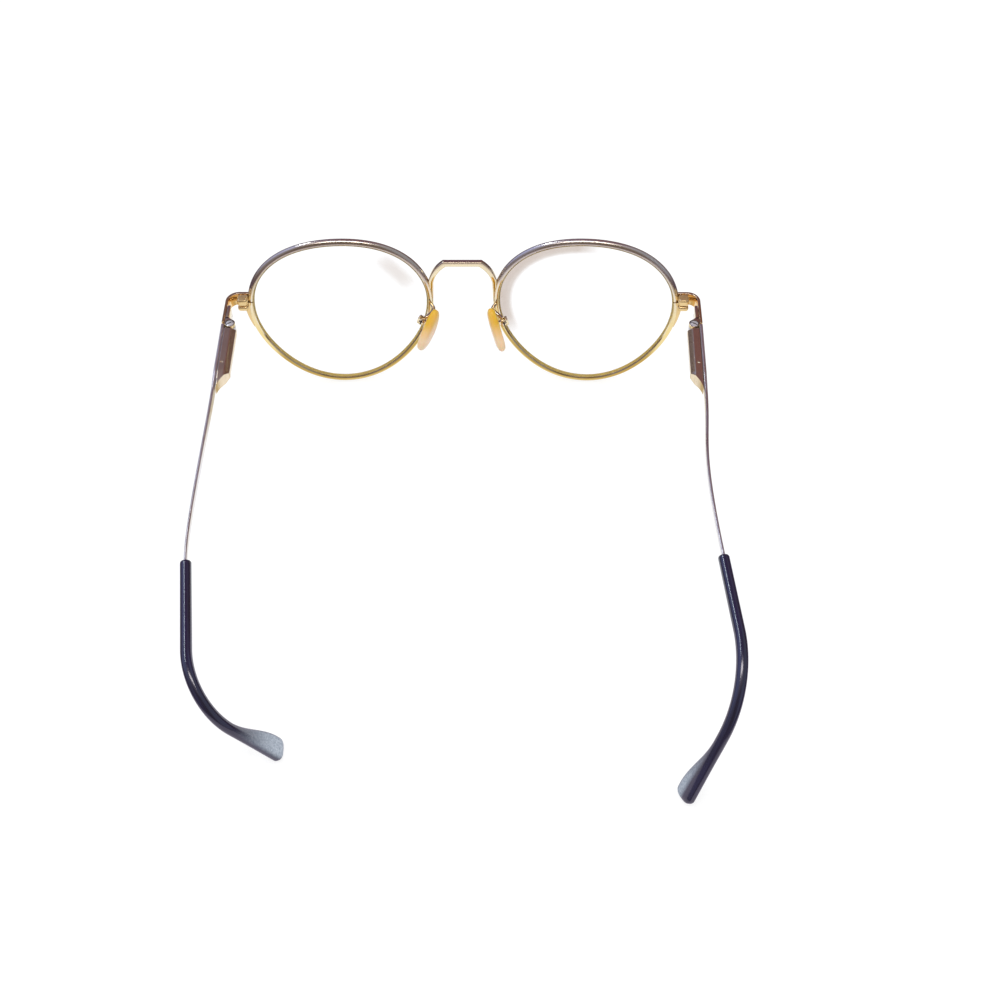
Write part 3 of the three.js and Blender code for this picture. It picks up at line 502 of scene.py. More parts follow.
def object_place(tree):
    """The place on the piece, in metres."""
    return add_node(tree, "ShaderNodeTexCoord").outputs["Object"]


def along_place(tree, along_scale, around_scale):
    """The piece's UV map, stretched: a low scale along and a high one around gives lines along it."""
    uv = add_node(tree, "ShaderNodeUVMap", uv_map="along").outputs["UV"]
    stretch = add_node(tree, "ShaderNodeMapping", {"Vector": uv, "Scale": (along_scale, around_scale, 1)})
    return stretch.outputs["Vector"]


def attribute(tree, name):
    """A value that the piece keeps for each of its points, and 0 on a piece without it."""
    return add_node(tree, "ShaderNodeAttribute", attribute_name=name).outputs["Fac"]


def bump(tree, strength, distance, height):
    """A normal that leans as if the surface rose with the height."""
    return add_node(tree, "ShaderNodeBump", {
        "Strength": strength, "Distance": distance, "Height": height,
    }).outputs["Normal"]


print("pattern helpers:", [helper.__name__ for helper in (noise, along_place, attribute, bump)])

# %% [markdown]
# ### Gilt metal and steel
# Gilt metal is not one flat colour: the plating varies a little, fine drawing lines run along the wire
# and make the gloss uneven, small tarnish spots sit in it, and worn edges are paler and duller. Where the
# wearer's skin and hair rub for years, as on the temples, the nickel silver lies bare. A painted picture
# could show all this, but noise needs no picture and stays sharp from near. One function makes every
# metal here.

# %% Gilt and steel finishes
GILT_REFLECTION, BARE_AND_REFLECTED_GREY, DIRT_AND_SHADE = (0.86, 0.55, 0.19, 1), (0.88, 0.87, 0.88, 1), (0.05, 0.035, 0.03, 1)
DARK_TONE = 0.84
RUBBED_ROUGHNESS, BARE_ROUGHNESS = 0.10, 0.30
GILT = dict(
    colour=(0.92, 0.78, 0.52, 1),
    rubbed=(0.94, 0.87, 0.74, 1),
    tarnish=(0.50, 0.32, 0.12, 1),
    gloss=(0.05, 0.14),
)


def metal_finish(name, colour, rubbed, tarnish, gloss, satin=0.0, gilt_reflection=GILT_REFLECTION):
    """Plated metal, whose colour and gloss vary by noise and by fine lines along the piece.

    Over the plating lie tarnish spots, and where the piece's attributes ask for them: a painted reflection
    of gold on gold, grey nickel where the gilding is gone (on the rims' tops a painted reflection instead),
    rubbed edges, and grime with painted shade in slots. Gloss is the range of roughness, and satin the
    share that scatters like paint.
    """
    material, tree, shader = new_finish(name)
    place = object_place(tree)
    tone = ramp(tree, noise(tree, place, 260, 4), 0, 0.6, 0.35, 0.7)
    spots = ramp(tree, noise(tree, place, 2600, 2), 0, 0.5, 0.62, 0.76)
    drawn = noise(tree, along_place(tree, 300, 7000), 1.0, 4, 0.65)
    wear_and_shade = attribute(tree, "wear_and_shade")
    uneven = ramp(tree, noise(tree, place, 900, 3), 0.15, 1.0, 0.35, 0.65)
    rubbing = maths(tree, "MULTIPLY", ramp(tree, wear_and_shade, 0, 1), uneven)
    patches = ramp(tree, noise(tree, place, 120, 3), 0.7, 1.0, 0.35, 0.6)
    bare_and_reflected = maths(tree, "MULTIPLY", attribute(tree, "bare_and_reflected"), patches)
    plating = mix_colour(tree, tone, colour, [c * DARK_TONE for c in colour[:3]] + [1])
    rough = ramp(tree, drawn, *gloss, 0.3, 0.7)
    rough = maths(tree, "MULTIPLY_ADD", rubbing, RUBBED_ROUGHNESS, rough)
    connect(tree, shader, {
        "Base Color": layered(tree, plating, [
            (spots, tarnish),
            # A painted reflection of gold on gold.
            (attribute(tree, "gilt_reflection"), gilt_reflection),
            # Grey metal: bare nickel on the temples, a painted cool reflection on the rims' tops.
            (bare_and_reflected, BARE_AND_REFLECTED_GREY),
            (rubbing, rubbed),
            # Dirt and painted shade in slots and seats, where the value is below zero.
            (ramp(tree, wear_and_shade, 1, 0, -1, -0.1), DIRT_AND_SHADE),
        ]),
        "Metallic": 1.0 - satin,
        "Roughness": maths(tree, "MULTIPLY_ADD", bare_and_reflected, BARE_ROUGHNESS, rough),
        "Normal": bump(tree, 0.10, 2e-5, drawn),
    })
    return material


GOLD = metal_finish("gilt metal", **GILT)
# The rims' painted reflection of gold on gold is yellower.
RIM_GOLD = metal_finish("rim_reflection gilt metal", **GILT, gilt_reflection=(0.90, 0.68, 0.22, 1))
PALE_GOLD = metal_finish(
    "pale gilt metal",
    colour=(0.90, 0.75, 0.53, 1),
    rubbed=(0.94, 0.86, 0.72, 1),
    tarnish=(0.44, 0.26, 0.16, 1),
    gloss=(0.12, 0.24),
)
SATIN_GOLD = metal_finish(
    "satin gilt metal",
    colour=(0.92, 0.70, 0.36, 1),
    rubbed=(0.94, 0.85, 0.68, 1),
    tarnish=GILT["tarnish"],
    gloss=(0.12, 0.28),
    satin=0.25,
)
STEEL = metal_finish(
    "steel",
    colour=(0.90, 0.89, 0.90, 1),
    rubbed=(0.94, 0.93, 0.93, 1),
    tarnish=(0.40, 0.34, 0.30, 1),
    gloss=(0.28, 0.42),
    satin=0.4,
)
print("metal finishes:", [finish.name for finish in (GOLD, RIM_GOLD, PALE_GOLD, SATIN_GOLD, STEEL)])

# %% [markdown]
# ### Coated glass
# The lens is clear and coated: light passes straight through, with a faint bloom where the coating is
# uneven. Two brownish patches, and the gold of the groove on the ground edge, are painted reflections.
# Ordinary glass would stop a lamp's light in the renderer, so for rays that test for shadow it is
# replaced by a transparent sheet.

# %% Lens finish
def lens_finish():
    """Clear glass, faint bloom, painted reflections; the groove's gold painted on its rough ground edge;
    clear to shadow rays.
    """
    material, tree = empty_finish("coated lens")
    place = object_place(tree)
    bloom = ramp(tree, noise(tree, place, 55, 2), 0, 0.55, 0.45, 0.75)
    smear = ramp(tree, noise(tree, place, 700, 4), 0.0, 0.03, 0.5, 0.8)
    grit = ramp(tree, noise(tree, place, 4000, 3), 0, 1, 0.3, 0.7)
    uneven = ramp(tree, noise(tree, place, 240, 3), 0.75, 1.0)
    painted_reflection = maths(tree, "MULTIPLY", attribute(tree, "painted_reflection"), uneven)
    ground = attribute(tree, "ground")
    # The ground edge's gold is a painted reflection of the gold groove.
    edge_gilt_reflection = mix_colour(tree, grit, (0.54, 0.36, 0.02, 1), (0.74, 0.53, 0.06, 1))
    glass = add_node(tree, "ShaderNodeBsdfPrincipled", {
        "Base Color": layered(tree, (1, 1, 1, 1), [
            (bloom, (0.975, 0.97, 0.98, 1)),
            # A brownish painted reflection in two places on the lenses.
            (painted_reflection, (0.57, 0.48, 0.42, 1)),
            (ground, edge_gilt_reflection),
        ]),
        "Roughness": maths(tree, "MULTIPLY_ADD", ground, 0.5, smear),
        "Transmission Weight": ramp(tree, ground, 1.0, 0.1),
        "IOR": 1.5,
    })
    clear = add_node(tree, "ShaderNodeBsdfTransparent")
    shadow = add_node(tree, "ShaderNodeLightPath").outputs["Is Shadow Ray"]
    both = mix_shader(tree, shadow, glass, clear)
    add_node(tree, "ShaderNodeOutputMaterial", {"Surface": both.outputs[0]})
    return material


LENS_GLASS = lens_finish()
print("lens finish:", LENS_GLASS.name)

# %% [markdown]
# ### Silicone
# The silicone of the pads is cloudy. Near the metal foot it is painted amber, the painted light of the
# gold foot shining through. A plain colour would look like paint: light that enters silicone comes out
# again nearby, and so it gets subsurface scattering.

# %% Silicone finish
def silicone_finish():
    """Cloudy silicone: peach to pink, with painted amber light of the metal foot, and a fine moulded grain.
    """
    material, tree, shader = new_finish("nose pad silicone")
    place = object_place(tree)
    cloud = ramp(tree, noise(tree, place, 330, 3), 0, 1, 0.35, 0.65)
    peach = mix_colour(tree, cloud, (1.0, 0.68, 0.42, 1), (1.0, 0.76, 0.54, 1))
    grain = noise(tree, place, 5200, 3)
    # Amber near the foot is painted light: the gold foot seen through the silicone.
    connect(tree, shader, {
        "Base Color": mix_colour(tree, attribute(tree, "painted_foot_glow"), peach, (0.82, 0.49, 0.05, 1)),
        "Roughness": ramp(tree, grain, 0.24, 0.38, 0.3, 0.7),
        "Normal": bump(tree, 0.10, 3e-5, grain),
        "IOR": 1.42,
        "Specular IOR Level": 0.3,
        "Subsurface Weight": 0.4,
        "Subsurface Radius": (1.0, 0.55, 0.3),
        "Subsurface Scale": 0.0015,
    })
    return material


SILICONE = silicone_finish()
print("pad finish:", SILICONE.name)

# %% [markdown]
# ### Plastic of the tips
# The tips are dyed plastic, glossy where they lie behind the ear and dulled and granular on the flat ends
# that are touched most. The broad faces of the ends are also painted pale blue-grey, a painted reflection
# of the white table. Two materials would meet at a hard line, so one material fades from gloss to matt,
# and to that painted reflection, by a value that each point keeps.

# %% Tip finish
def tip_finish():
    """Blue-black plastic: lacquered, with faint flow streaks; the paddle's faces granular, with a painted
    reflection.
    """
    material, tree, shader = new_finish("blue-black tip")
    place = object_place(tree)
    flow = ramp(tree, noise(tree, along_place(tree, 60, 420), 1.0, 4), 0, 1, 0.35, 0.7)
    glossy = mix_colour(tree, flow, (0.006, 0.006, 0.020, 1), (0.015, 0.013, 0.055, 1))
    grain = noise(tree, place, 2100, 4, 0.7)
    pale_grains = ramp(tree, grain, 0, 1, 0.35, 0.65)
    # The pale blue-grey of the paddle's faces is a painted reflection of the white table.
    paddle_reflection = mix_colour(tree, pale_grains, (0.30, 0.36, 0.44, 1), (0.58, 0.64, 0.72, 1))
    matt_and_reflection = attribute(tree, "matt_and_reflection")
    uneven = ramp(tree, noise(tree, place, 800, 3), -0.03, 0.05)
    connect(tree, shader, {
        "Base Color": mix_colour(tree, matt_and_reflection, glossy, paddle_reflection),
        "Roughness": maths(tree, "ADD", uneven, ramp(tree, matt_and_reflection, 0.12, 0.5)),
        "Normal": bump(tree, ramp(tree, matt_and_reflection, 0.04, 0.35), 6e-5, grain),
        "Coat Weight": ramp(tree, matt_and_reflection, 1, 0, 0, 0.6),
        "Coat IOR": 1.7,
        "Coat Roughness": 0.16,
    })
    return material


TIP_PLASTIC = tip_finish()
print("tip finish:", TIP_PLASTIC.name)

# %% [markdown]
# ## Rims
# An eye wire is drawn with a rounded outside and a vee groove inside, into which the bevel of the lens
# snaps. The wire is bent round the lens and its two ends meet at a slit beside the temple, so the section
# is carried round the rim line from one side of the slit to the other and both ends are shut. A curve
# with a bevel object could do this too, but here the groove is sure to face the lens, and each point's
# height can carry painted reflections: a deeper gold lower down, gold mirrored in gold, and a cool grey
# towards the top, the room mirrored there.

# %% Rim wires
END_ANGLE = np.radians(9.65)
SLIT = 0.3
GROOVE_DEPTH, GROOVE_WIDTH, GROOVE_EDGE = 0.5, 1.0, 0.1
RIM_STEPS = 260
# Painted reflections on the rims: grey metal towards the top, a deeper gold towards the bottom.
TOP_REFLECTION_MOST, TOP_REFLECTION_HEIGHT = {"left": 0.38, "right": 0.55}, 22
GILT_REFLECTION_MIDDLE, GILT_REFLECTION_MOST, GILT_REFLECTION_HEIGHT = 0.3, 0.65, 15


def rim_section():
    """Half an ellipse outside, then a lip, the vee groove and the other lip, as (outward, back) pairs."""
    turn = np.linspace(-np.pi / 2, np.pi / 2, 25)
    inner, half = -RIM_WIDTH / 2, RIM_DEPTH / 2
    outside = np.stack([(RIM_WIDTH - RIM_LIP) * np.cos(turn) + inner + RIM_LIP, half * np.sin(turn)], -1)
    inside = np.array([
        [inner, half - RIM_LIP / 2],
        [inner, GROOVE_WIDTH / 2],
        [inner + GROOVE_DEPTH, 0],
        [inner, -GROOVE_WIDTH / 2],
        [inner, -half + RIM_LIP / 2],
    ])
    return np.concatenate([outside, soften(inside, GROOVE_EDGE, 3)])


def rim_wire():
    """The section at each angle round the rim line: outward is square to the line, back is minus forward."""
    slit = SLIT / RIM_HALF_WIDTH
    angle = np.linspace(END_ANGLE + slit / 2, END_ANGLE + 2 * np.pi - slit / 2, RIM_STEPS)
    outward, back = rim_section().T
    return on_front(np.broadcast_to(angle[:, None], (RIM_STEPS, len(outward))), outward[None], -back[None])


def per_point(values, start=0, end=0):
    """Values for the points of a skin: those of its rings, and then one for the middle of each end."""
    return np.append(values.ravel(), [start, end])


def rim_marks(rings, side):
    """By height over the lens centre, painted reflections: deeper gold low down, grey towards the top."""
    height = per_point(rings[..., 2] - LENS_CENTRE[2])
    return {
        "gilt_reflection": np.clip(GILT_REFLECTION_MIDDLE - height / GILT_REFLECTION_HEIGHT, 0, GILT_REFLECTION_MOST),
        "bare_and_reflected": np.clip(height / TOP_REFLECTION_HEIGHT, 0, TOP_REFLECTION_MOST[side]),
    }


for side in SIDES:
    rings = rim_wire()
    marks = rim_marks(rings, side)
    add_piece(f"{side}_rim_wire", [skin(rings)], f"{side}_rim", RIM_GOLD, side, marks)
print("rim wires of", RIM_STEPS, "rings")

# %% [markdown]
# ## Lenses
# A spectacle lens is a meniscus: both faces bulge forwards, the back one a little more. It could be cut
# from two spheres, but a cut leaves uneven faces at the edge, which is what one sees of a lens. So the
# rows of a grid run from the middle of the back face out to the edge, over the bevel, and back to the
# front's middle. The edge is ground, not polished, so its points are marked for the finish. So are two
# painted reflections: a slanting band in the left lens, and a crescent by the upper nose side of the
# right one.

# %% Lenses
LENS_EDGE, LENS_BEVEL, LENS_GAP = 1.6, 0.8, 0.1
LENS_FRONT_RADIUS, LENS_BACK_RADIUS = 120, 112
LENS_SIDES = 200
# Painted reflections on the lenses: a slanting band on the left, a crescent on the right.
LEFT_REFLECTION_PLACE, LEFT_REFLECTION_SLANT = (-15.5, 11.5), (0.63, 0.78)
LEFT_REFLECTION_LENGTH, LEFT_REFLECTION_WIDTH, LEFT_REFLECTION_SHARE = 6, 2.4, 0.55
CRESCENT_FROM, CRESCENT_RISE, CRESCENT_MIDDLE = 0.86, 0.04, np.radians(142)
CRESCENT_END, CRESCENT_FADE = 0.45, 0.25


def lens_surface():
    """Height above the edge is (1 - share^2) * a^2 / (2R), share being 0 in the middle and 1 at the edge."""
    face = np.append(np.linspace(0.03, 0.985, 22), [0.998, 1])
    share = np.concatenate([face, [1, 1, 1], face[::-1]])
    half, count = LENS_EDGE / 2, len(face)
    edge = -RIM_WIDTH / 2 - LENS_GAP
    outward = np.full(len(share), edge)
    outward[count + 1] = edge + GROOVE_DEPTH
    rise = (1 - share**2) * RIM_HALF_WIDTH**2 / 2
    forward = np.concatenate([
        rise[:count] / LENS_BACK_RADIUS - half,
        [-LENS_BEVEL / 2, 0, LENS_BEVEL / 2],
        half + rise[-count:] / LENS_FRONT_RADIUS,
    ])
    angle = np.linspace(0, 2 * np.pi, LENS_SIDES, endpoint=False)
    flat = rim_offset(np.broadcast_to(angle, (len(share), LENS_SIDES)), outward[:, None])
    flat = flat * share[:, None, None]
    local = np.concatenate([flat, np.broadcast_to(forward[:, None, None], (*flat.shape[:2], 1))], -1)
    return placed(local, LENS_CENTRE, LENS_AXES), flat, share


def lens_painted_reflection(flat, share, side):
    """Painted reflection. Left, a band: exp(-(along/a)^4 - (across/b)^4). Right, a crescent near the edge,
    around an angle.
    """
    x, y = flat[..., 0], flat[..., 1]
    if side == "left":
        beside, above = x - LEFT_REFLECTION_PLACE[0], y - LEFT_REFLECTION_PLACE[1]
        along = LEFT_REFLECTION_SLANT[0] * beside + LEFT_REFLECTION_SLANT[1] * above
        across = LEFT_REFLECTION_SLANT[0] * above - LEFT_REFLECTION_SLANT[1] * beside
        return LEFT_REFLECTION_SHARE * np.exp(-((along / LEFT_REFLECTION_LENGTH) ** 4) - (across / LEFT_REFLECTION_WIDTH) ** 4)
    nearness = np.clip((share[:, None] - CRESCENT_FROM) / CRESCENT_RISE, 0, 1)
    upper_nose = np.cos(np.arctan2(y, x) - CRESCENT_MIDDLE)
    return nearness * np.clip((upper_nose - CRESCENT_END) / CRESCENT_FADE, 0, 1)


for side in SIDES:
    rings, flat, share = lens_surface()
    marks = {
        "ground": per_point(np.repeat(share == 1, LENS_SIDES)),
        "painted_reflection": per_point(lens_painted_reflection(flat, share, side)),
    }
    add_piece(f"{side}_lens_glass", [skin(rings)], f"{side}_lens", LENS_GLASS, side, marks)
print("lens rows:", len(rings))

# %% [markdown]
# ## Bridge
# The bridge is an angular bar: a flat top, two legs that bow out a little, and feet that run out along
# the rims to which they are soldered. A bar carried along one bent line would grow thick and thin at the
# corners, so its upper and lower edges are drawn as two lines in the plane of the front, station by
# station, and a softened oblong is fitted between them.

# %% Bridge bar
BRIDGE_TOP_HALF, BRIDGE_TOP_HEIGHT = 5.25, 14.9
BRIDGE_LEG_HEIGHT, BRIDGE_LEG_BOW, BRIDGE_FOOT_HEIGHT = 8.8, 0.7, 2.2
BRIDGE_BAR, BRIDGE_DEPTH, BRIDGE_EDGE = 1.55, 1.5, 0.4
FOOT_LAP, LEG_STATIONS = 0.5, 18


def nose_edge(height):
    """How far from the middle the rim's nose side lies at a height, read off the rim line's outside."""
    angle = np.linspace(0.5 * np.pi, 1.5 * np.pi, 2000)
    outside = rim_offset(angle, np.full(len(angle), RIM_WIDTH / 2))
    x = np.interp(-np.asarray(height, float), -outside[:, 1], outside[:, 0])
    return LENS_CENTRE[0] + x * np.cos(FRONT_WRAP)


def bowed(start, end, bow, count):
    """A quadratic curve from start to end whose middle point is pushed out by the bow."""
    t = np.linspace(0, 1, count)[:, None]
    middle = (start + end) / 2 + bow
    return (1 - t) ** 2 * start + 2 * t * (1 - t) * middle + t**2 * end


def bridge_edges():
    """Upper and lower edge of half the bridge, from the middle of the top to the foot."""
    corner = np.array([BRIDGE_TOP_HALF, BRIDGE_TOP_HEIGHT])
    leg = np.array([nose_edge(BRIDGE_LEG_HEIGHT), BRIDGE_LEG_HEIGHT])
    foot = np.array([nose_edge(BRIDGE_FOOT_HEIGHT), BRIDGE_FOOT_HEIGHT])
    fall = unit(leg - corner)
    under = np.array([fall[1], -fall[0]]) * BRIDGE_BAR
    under_leg = leg + under
    under_corner = corner + under - fall * (BRIDGE_BAR + under[1]) / fall[1]
    bow = np.array([-fall[1], fall[0]]) * 2 * BRIDGE_LEG_BOW
    top = np.linspace(0, 1, 14)[:-1, None]
    run = np.linspace(0, 1, 16)[1:]
    foot_height = BRIDGE_LEG_HEIGHT + run * (BRIDGE_FOOT_HEIGHT - BRIDGE_LEG_HEIGHT)
    foot_upper = np.stack([nose_edge(foot_height) + FOOT_LAP * np.minimum(1, 3 * run), foot_height], -1)
    upper = np.concatenate([
        [0, BRIDGE_TOP_HEIGHT] + top * [BRIDGE_TOP_HALF, 0],
        bowed(corner, leg, bow, LEG_STATIONS),
        foot_upper,
    ])
    lower = np.concatenate([
        [0, BRIDGE_TOP_HEIGHT - BRIDGE_BAR] + top * [under_corner[0], 0],
        bowed(under_corner, under_leg, bow, LEG_STATIONS),
        under_leg + run[:, None] * (foot - under_leg),
    ])
    return upper, lower


def bridge_bar():
    """Softened oblongs, as high as the gap between the edges: middle + across * a + forward * b."""
    upper, lower = bridge_edges()
    flip = np.array([-1, 1])
    upper = np.concatenate([upper[:0:-1] * flip, upper])
    lower = np.concatenate([lower[:0:-1] * flip, lower])
    gap = np.linalg.norm(upper - lower, axis=-1)
    outline = soften(rectangle(BRIDGE_DEPTH, gap), BRIDGE_EDGE, 6)
    across = unit(upper - lower)
    middle = (upper + lower) / 2
    forward = RIM_HALF_WIDTH * np.sin(FRONT_WRAP)
    flat = middle[:, None] + across[:, None] * outline[..., 1:]
    local = np.concatenate([flat, forward + outline[..., :1]], -1)
    right = np.array([1, 0, 0])
    return placed(local, [0, 0, LENS_CENTRE[2]], [right, LENS_UP, np.cross(right, LENS_UP)])


add_piece("bridge_bar", [skin(bridge_bar())], "bridge", GOLD)
print("bridge stations:", len(bridge_bar()))

# %% [markdown]
# ## End pieces
# The end piece is a flat strap, soldered to the outside of the rim and bent back round the corner to the
# hinge. A plate with a Simple Deform modifier would bend over its whole length, but this one only bends
# at the corner. So an oblong is carried along a line that, seen from above, is straight, then a quarter
# circle, then straight again.

# %% End pieces
END_REACH, END_DEPTH, END_BEND, STRAP = 5.47, 12.1, 3.5, 0.8
STRAP_STARTS, STRAP_EDGE, STRAP_END, STRAP_GILT_REFLECTION = (-1.2, 0.5), 0.26, 0.14, 0.6
UPPER_BLOCK, LOWER_BLOCK = 2.3, 1.7
SOLDER, RUNNING = 0.06, 0.1
BARREL_RADIUS, BARREL_HEIGHT, BUTT_GAP = 1.4, 3.8, 0.5

JOINT = on_front(np.array(END_ANGLE), np.array(RIM_WIDTH / 2), 0.0)
STRAP_FRONT = JOINT[1] - RIM_DEPTH / 2
STRAP_TOP, STRAP_BOTTOM = JOINT[2] + UPPER_BLOCK, JOINT[2] - LOWER_BLOCK
OUTER_FACE = JOINT[0] + END_REACH
HINGE = np.array([
    OUTER_FACE - STRAP - SOLDER - BARREL_RADIUS,
    STRAP_FRONT + END_DEPTH,
    (STRAP_TOP + STRAP_BOTTOM) / 2,
])
UP = np.array([0, 0, 1.0])


def end_strap():
    """Middle line: straight along x, a quarter circle of the bend's mid radius, straight along y."""
    centre = np.array([OUTER_FACE - END_BEND, STRAP_FRONT + END_BEND])
    turn = np.linspace(-np.pi / 2, 0, 28)
    corner = centre + (END_BEND - STRAP / 2) * np.stack([np.cos(turn), np.sin(turn)], -1)
    start = [[JOINT[0] + x, corner[0, 1]] for x in STRAP_STARTS]
    end = [[corner[-1, 0], y] for y in np.linspace(corner[-1, 1] + 1, HINGE[1] - BUTT_GAP / 2, 6)]
    plan = np.concatenate([start, corner, end])
    path = np.concatenate([plan, np.full((len(plan), 1), HINGE[2])], -1)
    outline = soften(rectangle(STRAP, STRAP_TOP - STRAP_BOTTOM), STRAP_EDGE, 5)
    return sweep(path, UP, outline, end_round=STRAP_END)


for side in SIDES:
    strap = [skin(end_strap())]
    # The whole strap gets a painted reflection of gold on gold.
    add_piece(f"{side}_end_strap", strap, f"{side}_end_piece", GOLD, side, {"gilt_reflection": STRAP_GILT_REFLECTION})
print("hinge axis at", np.round(HINGE, 3))

# %% [markdown]
# ## Closing blocks
# The rim's two ends carry small blocks, one above the other, that a lock screw draws together to grip the
# lens. The lower one has a tail that runs on along the rim and thins out. Small drop-forged blocks have
# generously rounded edges, which catch the light. Cubes with a Bevel modifier would do for the blocks,
# but the tail has to follow the rim line, so both are made from outlines.

# %% Closing blocks
BLOCK_WIDTH, BLOCK_DEPTH, BLOCK_LAP = 2.5, 2.9, 0.4
BLOCK_CORNER, BLOCK_EDGE, BLOCK_GILT_REFLECTION = 0.8, 0.6, 0.3
TAIL_LENGTH, TAIL_WIDTH, TAIL_TAPER, TAIL_THIN, TAIL_EDGE = 6.5, 0.9, 0.85, 0.5, 0.35
BLOCK_FRONT = STRAP_FRONT + STRAP + SOLDER
LOCK = np.array([JOINT[0] + BLOCK_WIDTH / 2, BLOCK_FRONT + BLOCK_DEPTH / 2])


def closing_block(low, high):
    """An oblong between rim and screw, raised from low to high with rounded edges."""
    outline = soften(rectangle(BLOCK_WIDTH + BLOCK_LAP, BLOCK_DEPTH), BLOCK_CORNER, 6)
    return block(outline + [JOINT[0] + (BLOCK_WIDTH - BLOCK_LAP) / 2, LOCK[1]], low, high, BLOCK_EDGE, 6)


def block_tail():
    """Sections along the rim line, below the slit: width and depth fall evenly along the tail."""
    share = np.linspace(0, 1, 30)
    angle = END_ANGLE - (SLIT / 2 + share * (TAIL_LENGTH + LOWER_BLOCK)) / RIM_HALF_WIDTH
    width = RIM_WIDTH / 2 + TAIL_WIDTH * (1 - TAIL_TAPER * share)
    depth = RIM_DEPTH * (1 - TAIL_THIN * share)
    outline = soften(rectangle(width, depth), TAIL_EDGE, 4)
    outward = outline[..., 0] + width[:, None] / 2
    return on_front(np.broadcast_to(angle[:, None], outward.shape), outward, outline[..., 1])


for side in SIDES:
    blocks = {
        "upper": [skin(closing_block(JOINT[2] + SLIT / 2, STRAP_TOP))],
        "lower": [skin(closing_block(STRAP_BOTTOM, JOINT[2] - SLIT / 2)), skin(block_tail())],
    }
    for level, skins in blocks.items():
        name, node = f"{side}_closing_block_{level}", f"{side}_lock_{level}"
        # The blocks get a painted reflection of gold on gold.
        add_piece(name, skins, node, SATIN_GOLD, side, {"gilt_reflection": BLOCK_GILT_REFLECTION})
print("closing blocks meet at", round(float(JOINT[2]), 2))

# %% [markdown]
# ## Slotted screws
# A slotted head is a disc with a groove across it. A Boolean modifier could cut the groove, but leaves
# thin, uneven faces. So the head is drawn as slices: at each distance s across the slot the disc has a
# chord of half length sqrt(R^2 - s^2), and the slice is an oblong of that length with a domed top. At the
# two walls of the slot there are two slices at the same place, one high and one low.

# %% Screws
SLOT_WIDTH, SLOT_DEPTH = 0.4, 0.2
HEAD_SLICES, SLICE_POINTS, HEAD_REACH = 14, 15, 0.985
PIN_CHAMFER, PIN_INSET, PIN_SIDES = 0.15, 0.12, 28
LOCK_SCREW = dict(shaft_radius=0.5, head_radius=0.8, head_height=0.28, dome=0.06)
HINGE_SCREW = dict(shaft_radius=0.6, head_radius=1.05, head_height=0.45, dome=0.14)
LOCK_CAP = 0.5


def slotted_head(radius, height, dome):
    """Slices of a domed disc, its top at height 0 and its underside at minus height."""
    wall = SLOT_WIDTH / 2
    side = radius * np.sin(np.linspace(np.arcsin(wall / radius), np.pi / 2 * HEAD_REACH, HEAD_SLICES))
    s = np.concatenate([-side[::-1], [-wall, wall], side])
    high = np.zeros(HEAD_SLICES)
    low = np.concatenate([high, [SLOT_DEPTH, SLOT_DEPTH], high])
    chord = np.sqrt(radius**2 - s**2)
    top_y = chord[:, None] * np.linspace(-1, 1, SLICE_POINTS)
    fall = dome * (s[:, None] ** 2 + top_y**2) / radius**2
    top = np.stack([np.broadcast_to(s[:, None], top_y.shape), top_y, -fall - low[:, None]], -1)
    foot = top[:, [-1, 0]] * [1, 1, 0] - [0, 0, height]
    # The slot's floor is darkened: dirt, and painted shade.
    dirt_and_shade = np.zeros((len(s), SLICE_POINTS + 2))
    dirt_and_shade[low > 0, 1:-3] = 1
    return np.concatenate([top, foot], axis=1), dirt_and_shade


def pin(radius, start, end):
    """A round pin along the third axis, chamfered at its end."""
    way = np.sign(end - start)
    profile = [[radius, start], [radius, end - way * PIN_CHAMFER], [radius - PIN_INSET, end]]
    return turned_shape(np.array(profile), PIN_SIDES)


def screw(head_top, way, slot_along, length, shaft_radius, head_radius, head_height, dome):
    """A slotted head with a round shaft below it; way points from the head to the screw's end."""
    way = unit(np.asarray(way, float))
    across = unit(np.cross(way, slot_along))
    axes = np.stack([across, np.cross(-way, across), -way])
    shaft = pin(shaft_radius, -head_height / 2, -length)
    head, dirt_and_shade = slotted_head(head_radius, head_height, dome)
    return [skin(placed(head, head_top, axes), dirt_and_shade=dirt_and_shade), skin(placed(shaft, head_top, axes))]


LOCK_TOP = np.array([*LOCK, STRAP_BOTTOM + SOLDER])
HINGE_TOP = HINGE + [0, 0, BARREL_HEIGHT / 2]
for side in SIDES:
    lock = screw(LOCK_TOP, UP, [1, 0, 0], STRAP_TOP - LOCK_CAP - SOLDER - LOCK_TOP[2], **LOCK_SCREW)
    pivot = screw(HINGE_TOP, -UP, [1, 0.6, 0], BARREL_HEIGHT, **HINGE_SCREW)
    add_piece(f"{side}_lock_screw_slotted", lock, f"{side}_lock_screw", STEEL, side)
    add_piece(f"{side}_hinge_screw_slotted", pivot, f"{side}_hinge_screw", STEEL, side)
print("slices in a screw head:", 2 * HEAD_SLICES + 2)

# %% [markdown]
# ## Hinges
# The front half of a hinge is a leaf, soldered inside the strap, with two knuckles, and the tongue's
# single knuckle turns between them. A knuckle with its leaf is one outline seen from above, star-shaped
# about the hinge axis, so the hole needs no Boolean modifier: each outline point is paired with the point
# of a circle at the same angle, and the rings run on through the hole.

